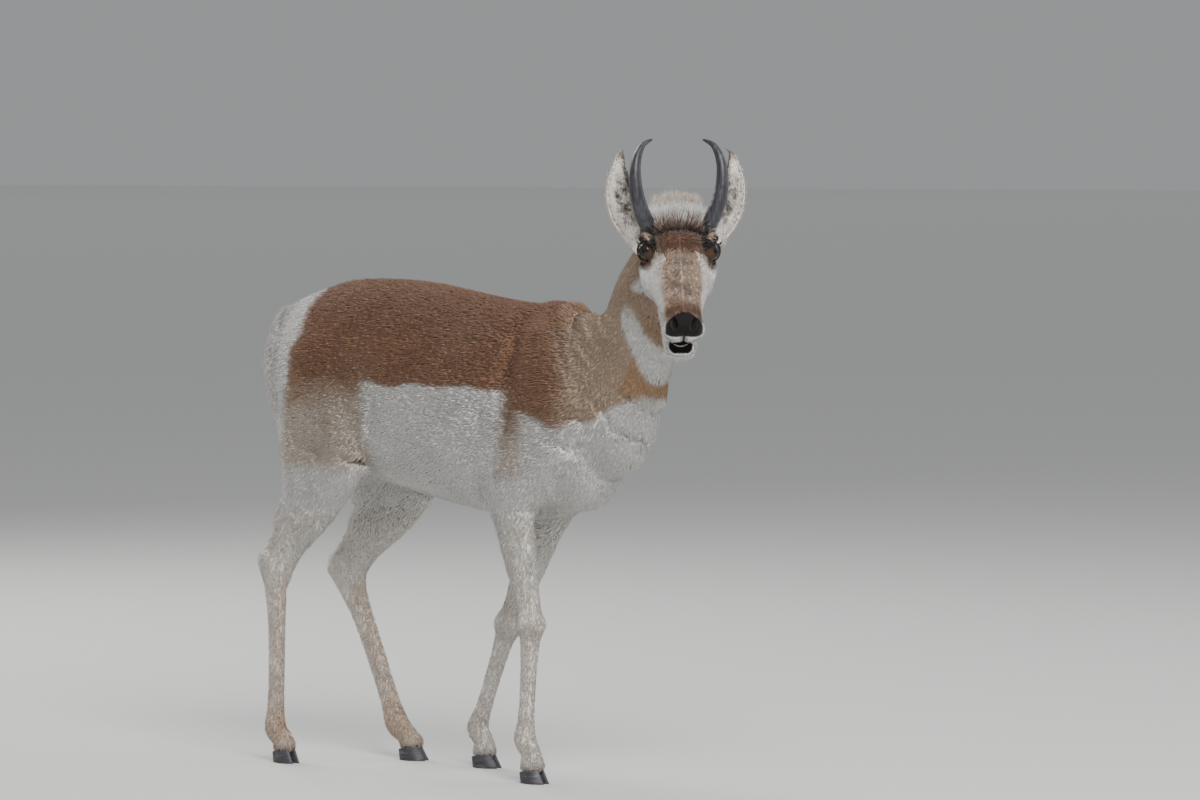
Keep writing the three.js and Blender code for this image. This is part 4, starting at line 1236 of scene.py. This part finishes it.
# Lower front teeth
tooth_look, tree, shader = material("tooth")
place = node(tree, "ShaderNodeTexCoord").outputs["Object"]
stain = noise(tree, place, 150.0, 3.0)
tree.links.new(ramp(tree, stain.outputs["Fac"], [(0.35, (0.42, 0.36, 0.24)), (0.65, (0.62, 0.57, 0.46))]),
               shader.inputs["Base Color"])
shader.inputs["Roughness"].default_value = 0.3
TOOTH_COUNT, TOOTH_STEP, TEETH_ALONG, TEETH_OUT = 6, 4.1, 156, -84
# one tooth from root to edge: rise, half width, half thickness
TOOTH_RINGS = ((-8, 1.5, 1.6), (-2, 1.8, 1.6), (3, 2.0, 1.3), (6.2, 1.9, 0.9), (7.2, 1.4, 0.5))
parts, total = [], 0
angle = np.linspace(0, 2 * math.pi, 14, endpoint=False)
for i in range(TOOTH_COUNT):
    left = (i - (TOOTH_COUNT - 1) / 2) * TOOTH_STEP
    rings = []
    for rise, wide, thick in TOOTH_RINGS:
        rings.append(on_head(TEETH_ALONG - 0.03 * left ** 2, TEETH_OUT + rise, left)
                     + HEAD_LEFT * (wide * np.cos(angle))[:, None]
                     + MUZZLE * (thick * np.sin(angle))[:, None])
    points, faces = loft(rings)
    parts.append((points, faces + total))
    total += len(points)
teeth = mesh_object("incisors", to_frame(np.vstack([p for p, _ in parts])), np.vstack([f for _, f in parts]),
                    tooth_look)
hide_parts("teeth")


# Coat: flat tapering locks that lie along the body, as solid mesh
def turned(way, towards, share):
    """Blends one set of directions into another by a share for each point."""
    return way * (1 - share[:, None]) + towards * share[:, None]


def lie(p):
    """Which way the coat lies."""
    f, l, u = forward(p), p[:, 0], p[:, 2]
    way = np.tile(at(-1, 0, -0.22), (len(p), 1))
    way = turned(way, at(-0.45, 0, -0.9), smooth(700, 480, u))
    belly = smooth(560, 510, u) * smooth(90, 60, np.abs(l)) * smooth(-200, -120, f) * smooth(330, 260, f)
    way = turned(way, at(-1, 0, 0), belly)
    way = turned(way, at(-0.35, 0, -0.9) + np.outer(np.sign(l), at(0, 0.35, 0)), smooth(-300, -380, f))
    way = turned(way, at(-0.5, 0.05, -0.86), smooth(300, 400, f))
    way = turned(way, at(-0.12, 0, -1), smooth(480, 420, u))
    share = head_share(p)
    here = share > 0.01
    if here.any():
        a, o, s = in_head(p[here])
        outwards = HEAD_LEFT * np.sign(s)[:, None]
        face = turned(SKY * 0.5 - FACING * 0.9, MUZZLE + outwards * 0.3, smooth(-20, 10, a))
        face = turned(face, MUZZLE * 0.45 - BROW * 0.7 - FACING * 0.2, smooth(-20, -50, o))
        way[here] = turned(way[here], face, share[here])
    return way


WEDGE = np.array([(0, 2, 1), (0, 1, 3), (0, 3, 2), (4, 1, 2), (4, 3, 1), (4, 2, 3)])
PATCH = 0.003


def locks(roots, normals, ways, length, width, lift, colours, flat=0.14):
    """Spindle locks: a root under the skin, a flat widest part and a tip.

    lift is the tip's height over the length.
    """
    tangent = unit(ways - normals * (ways * normals).sum(1, keepdims=True))
    across = np.cross(normals, tangent)
    length, width, lift = length[:, None], width[:, None], lift[:, None]
    bend = across * RNG.normal(0, 0.06, (len(roots), 1)) * length
    half = roots + tangent * length * 0.4 + normals * length * lift * 0.55 + bend * 0.3
    tip = roots + tangent * length + normals * length * lift + bend
    corners = np.stack([
        roots - normals * 1.0, half - across * width * 0.5, half + across * width * 0.5,
        half - normals * width * flat, tip], 1)
    count = len(roots)
    faces = (WEDGE[None] + 5 * np.arange(count)[:, None, None]).reshape(-1, 3)
    tone = RNG.normal(1, 0.035, (count, 1, 1))
    # painted shade and light: each lock is darker at its root and underside and lighter at its tip
    shade = np.array([0.94, 1.0, 1.0, 0.95, 1.03])[None, :, None]
    return corners.reshape(-1, 3), faces, np.clip(colours[:, None, :] * tone * shade, 0, 1).reshape(-1, 3)


LOCAL_UV = np.array([(0.5, 0), (0, 0.4), (1, 0.4), (0.5, 0.45), (0.5, 1)]) * PATCH


def lock_uv(unwrapped, faces):
    corner = faces.reshape(-1)
    return unwrapped[corner // 5] + LOCAL_UV[corner % 5]


def spin(x, y):
    return (np.arctan2(y, x) / (2 * math.pi)) % 1.0


# Unwraps: round an axis, with the length along it in proportion; start and whole length in millimetres
TRUNK_START, TRUNK_SPAN, TRUNK_AXIS = 460, 960, 700
HEAD_START, HEAD_SPAN, HEAD_AXIS = 150, 390, -20
LEG_SPAN, LEG_FOOT, LEG_TOP = 720, 20, 560


def unwrap_trunk(p):
    f = (forward(p) + TRUNK_START) / TRUNK_SPAN
    return np.stack([f, spin(p[:, 2] - TRUNK_AXIS, p[:, 0])], 1)


def unwrap_head(p):
    a, o, s = in_head(p)
    return np.stack([(a + HEAD_START) / HEAD_SPAN, spin(HEAD_AXIS - o, s)], 1)


def unwrap_legs(p):
    u = p[:, 2] / LEG_SPAN
    out = np.zeros((len(p), 2))
    best = np.full(len(p), np.inf)
    for i, (side, joints) in enumerate(LEGS.values()):
        top = joints["hock" if "hock" in joints else "knee"]
        knee = at(top[0], side * top[1], top[2])
        foot = at(*joints["coronet"][:2], LEG_FOOT) * [side, 1, 1]
        hip = at(joints.get("stifle", joints.get("elbow"))[0], side * 90, LEG_TOP)
        t = np.interp(p[:, 2], [LEG_FOOT, top[2], LEG_TOP], [0, 1, 2])[:, None]
        axis = np.where(t < 1, foot + (knee - foot) * t, knee + (hip - knee) * (t - 1))
        away = np.linalg.norm((p - axis)[:, :2], axis=1)
        closer = away < best
        best[closer] = away[closer]
        turn = spin(p[:, 1] - axis[:, 1], p[:, 0] - axis[:, 0])
        out[closer] = np.stack([(i + turn * 0.96) / 4, u], 1)[closer]
    return out


corners = skin_points[skin_triangles]
face_cross = np.cross(corners[:, 1] - corners[:, 0], corners[:, 2] - corners[:, 0])
face_area = np.linalg.norm(face_cross, axis=1) / 2
middle = corners.mean(1)
vertex_normal = np.zeros_like(skin_points)
for k in range(3):
    np.add.at(vertex_normal, skin_triangles[:, k], face_cross)
vertex_normal = unit(vertex_normal)

on_the_head = head_share(middle) > 0.45
fwd, up = forward(middle), middle[:, 2]
on_leg = (up < 500) & (flesh(middle) < 60)
on_neck = ~on_the_head & (fwd * 0.86 + up * 0.5 > 372 * 0.86 + 760 * 0.5)
on_trunk = ~on_the_head & ~on_leg & ~on_neck


def scatter(where, count, weight=None):
    area = face_area * where * (1 if weight is None else weight)
    chosen = RNG.choice(len(area), count, p=area / area.sum())
    mix = RNG.random((count, 2))
    over = mix.sum(1) > 1
    mix[over] = 1 - mix[over]
    share = np.stack([1 - mix.sum(1), mix[:, 0], mix[:, 1]], 1)[:, :, None]
    tri = skin_triangles[chosen]
    return (skin_points[tri] * share).sum(1), unit((vertex_normal[tri] * share).sum(1))


def grow(name, roots, normals, unwrap, length, width, lift, ways=None, colours=None, pieces=1, jitter=0.09):
    """Makes coat pieces from roots, each piece under 200,000 triangles."""
    ways = lie(roots) if ways is None else ways
    ways = ways + RNG.normal(0, jitter, ways.shape)
    colours = colour_at(roots) if colours is None else colours
    order = np.argsort(roots[:, 1], kind="stable")
    for i, part in enumerate(np.array_split(order, pieces)):
        points, faces, shades = locks(roots[part], normals[part], ways[part], length[part], width[part],
                                      lift[part], colours[part])
        uv = lock_uv(np.clip(unwrap(roots[part]), 0.002, 0.994), faces)
        label = name if pieces == 1 else f"{name}_{i + 1}"
        mesh_object(label, to_frame(points), faces, coat_look, shades, uv)


def varied(count, mean, spread):
    return mean * RNG.uniform(1 - spread, 1 + spread, count)


DENSITY = 1.0
LOCKS = dict(trunk=128000, neck=27000, legs=42000, head=29000, crown=6500, ear=3600)


def lock_count(part):
    return int(LOCKS[part] * DENSITY)


# trunk
count = lock_count("trunk")
roots, normals = scatter(on_trunk, count)
rump = smooth(-320, -370, forward(roots))
clump = 0.5 + 0.5 * wobble(roots, 30, 31)
length = varied(count, 18, 0.25) * (1 + 0.45 * rump)
lift = (0.19 + 0.07 * clump + 0.2 * rump) * RNG.uniform(0.75, 1.2, count)
grow("coat_trunk", roots, normals, unwrap_trunk, length, varied(count, 2.1, 0.25), lift, pieces=5)

# neck
count = lock_count("neck")
roots, normals = scatter(on_neck, count)
length = varied(count, 16, 0.25)
lift = varied(count, 0.22, 0.3)
grow("coat_neck", roots, normals, unwrap_trunk, length, varied(count, 1.9, 0.25), lift)

# legs
count = lock_count("legs")
weight = np.interp(up, [30, 60, 300, 480], [2.0, 1.8, 1.5, 0.7])
roots, normals = scatter(on_leg & (up > 31), count, weight)
high = smooth(330, 480, roots[:, 2])
length = varied(count, 10, 0.25) * (1 + 0.9 * high)
lift = varied(count, 0.2, 0.3) + 0.04 * high
width = varied(count, 1.4, 0.25) * (1 + 0.5 * high)
grow("coat_legs", roots, normals, unwrap_legs, length, width, lift, pieces=2)

# head
a, o, s = in_head(middle)
from_eye = np.minimum(*[np.linalg.norm(middle - eye_place(side), axis=1) for side in (-1, 1)])
bare = (a > 154 + 0.016 * s * s) & (o > -18) & (np.abs(s) < 36)
free = on_the_head & (from_eye > EYE_RADIUS + 3.6) & ~bare & (mouth(middle) > 2.2) & (a < 188)
count = lock_count("head")
roots, normals = scatter(free, count)
a, o, s = in_head(roots)
longer = smooth(20, -50, a) + 0.6 * smooth(-50, -85, o)
length = varied(count, 7.2, 0.25) * (1 + 0.9 * longer)
width = varied(count, 1.25, 0.25) * (1 + 0.35 * longer)
grow("coat_head", roots, normals, unwrap_head, length, width, varied(count, 0.2, 0.35) + 0.08 * longer)

# crown: a loose white tuft between the horns
a, o, s = in_head(middle)
crown = (head_share(middle) > 0.3) & (a < -16) & (a > -106) & (o > 4) & (np.abs(s) < 50)
count = lock_count("crown")
roots, normals = scatter(crown, count)
a, o, s = in_head(roots)
ways = SKY + FACING * 0.12 + HEAD_LEFT * (s / 70)[:, None] + normals * 0.2
length = varied(count, 24, 0.4) * smooth(58, 40, np.abs(s)) + 6
width = varied(count, 1.3, 0.3)
lift = varied(count, 0.75, 0.2)
grow("coat_crown", roots, normals, unwrap_head, length, width, lift, ways=ways, jitter=0.16)

# ears: short hair over the back, longer pale hair inside along the margins
roots, normals, ways, colours, sizes, thin, rise = [], [], [], [], [], [], []
for side, (points, faces, facts) in ears.items():
    tri = points[faces]
    cross = np.cross(tri[:, 1] - tri[:, 0], tri[:, 2] - tri[:, 0])
    area = np.linalg.norm(cross, axis=1)
    fact = facts[faces].mean(1)
    along_margin = (fact[:, 2] > 0.5) & (np.abs(fact[:, 1]) > 0.6)
    weight = area * (1.0 + 2.2 * along_margin) * (fact[:, 0] > 0.06)
    count = lock_count("ear")
    pick = RNG.choice(len(area), count, p=weight / weight.sum())
    root = tri[pick].mean(1) + RNG.normal(0, 0.6, (count, 3))
    t, k, inside = fact[pick].T
    margin = smooth(0.6, 0.9, np.abs(k)) * inside
    normal = unit(cross[pick])
    inward = unit(points[len(points) - 1] - root) * 0.8 + SKY * 0.4
    way = np.tile(SKY, (count, 1))
    way = way * (1 - margin[:, None]) + inward * margin[:, None]
    roots.append(root)
    normals.append(normal)
    ways.append(way)
    colours.append(ear_colour(root, fact[pick], side))
    sizes.append(varied(count, 6.5, 0.3) * (1 + 0.9 * margin))
    thin.append(varied(count, 1.0, 0.3))
    rise.append(0.14 + 0.3 * margin)
roots, normals, ways, colours = (np.vstack(x) for x in (roots, normals, ways, colours))
length, width, lift = (np.concatenate(x) for x in (sizes, thin, rise))
grow("coat_ears", roots, normals, unwrap_head, length, width, lift, ways=ways, colours=colours)

# lashes over each eye
roots, normals, ways = [], [], []
for side in (-1, 1):
    look = eye_look_way(side)
    lengthways = eye_length_way(look)
    upright = unit(BROW - look * (BROW @ look))
    for x in np.linspace(-0.85, 0.7, 46):
        along, high = x * 15, (1 - x * x) * 8.8 * 0.92
        out = math.sqrt(max(0.0, (EYE_RADIUS + 2.4) ** 2 - along ** 2 - high ** 2))
        roots.append(eye_place(side) + lengthways * along + upright * high + look * out)
        normals.append(unit(look + upright * 0.3))
        sweep = lengthways * (x * 0.5 - 0.2) - SKY * 0.1
        ways.append(look * 0.6 + HEAD_LEFT * side * 0.5 + upright * 0.25 + sweep)
count = len(roots)
roots, normals, ways = np.array(roots), np.array(normals), np.array(ways)
normals = unit(np.cross(np.cross(ways, normals), ways))
black = np.tile(np.array(NEAR_BLACK), (count, 1))
grow("lashes", roots, normals, unwrap_head, varied(count, 11, 0.2), np.full(count, 0.8), np.full(count, 0.1),
     ways=ways, colours=black, jitter=0.1)

boxes = {"cad": CAD_BOX, "visual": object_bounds()}
{k: [[float(x) for x in corner] for corner in v] for k, v in boxes.items()}
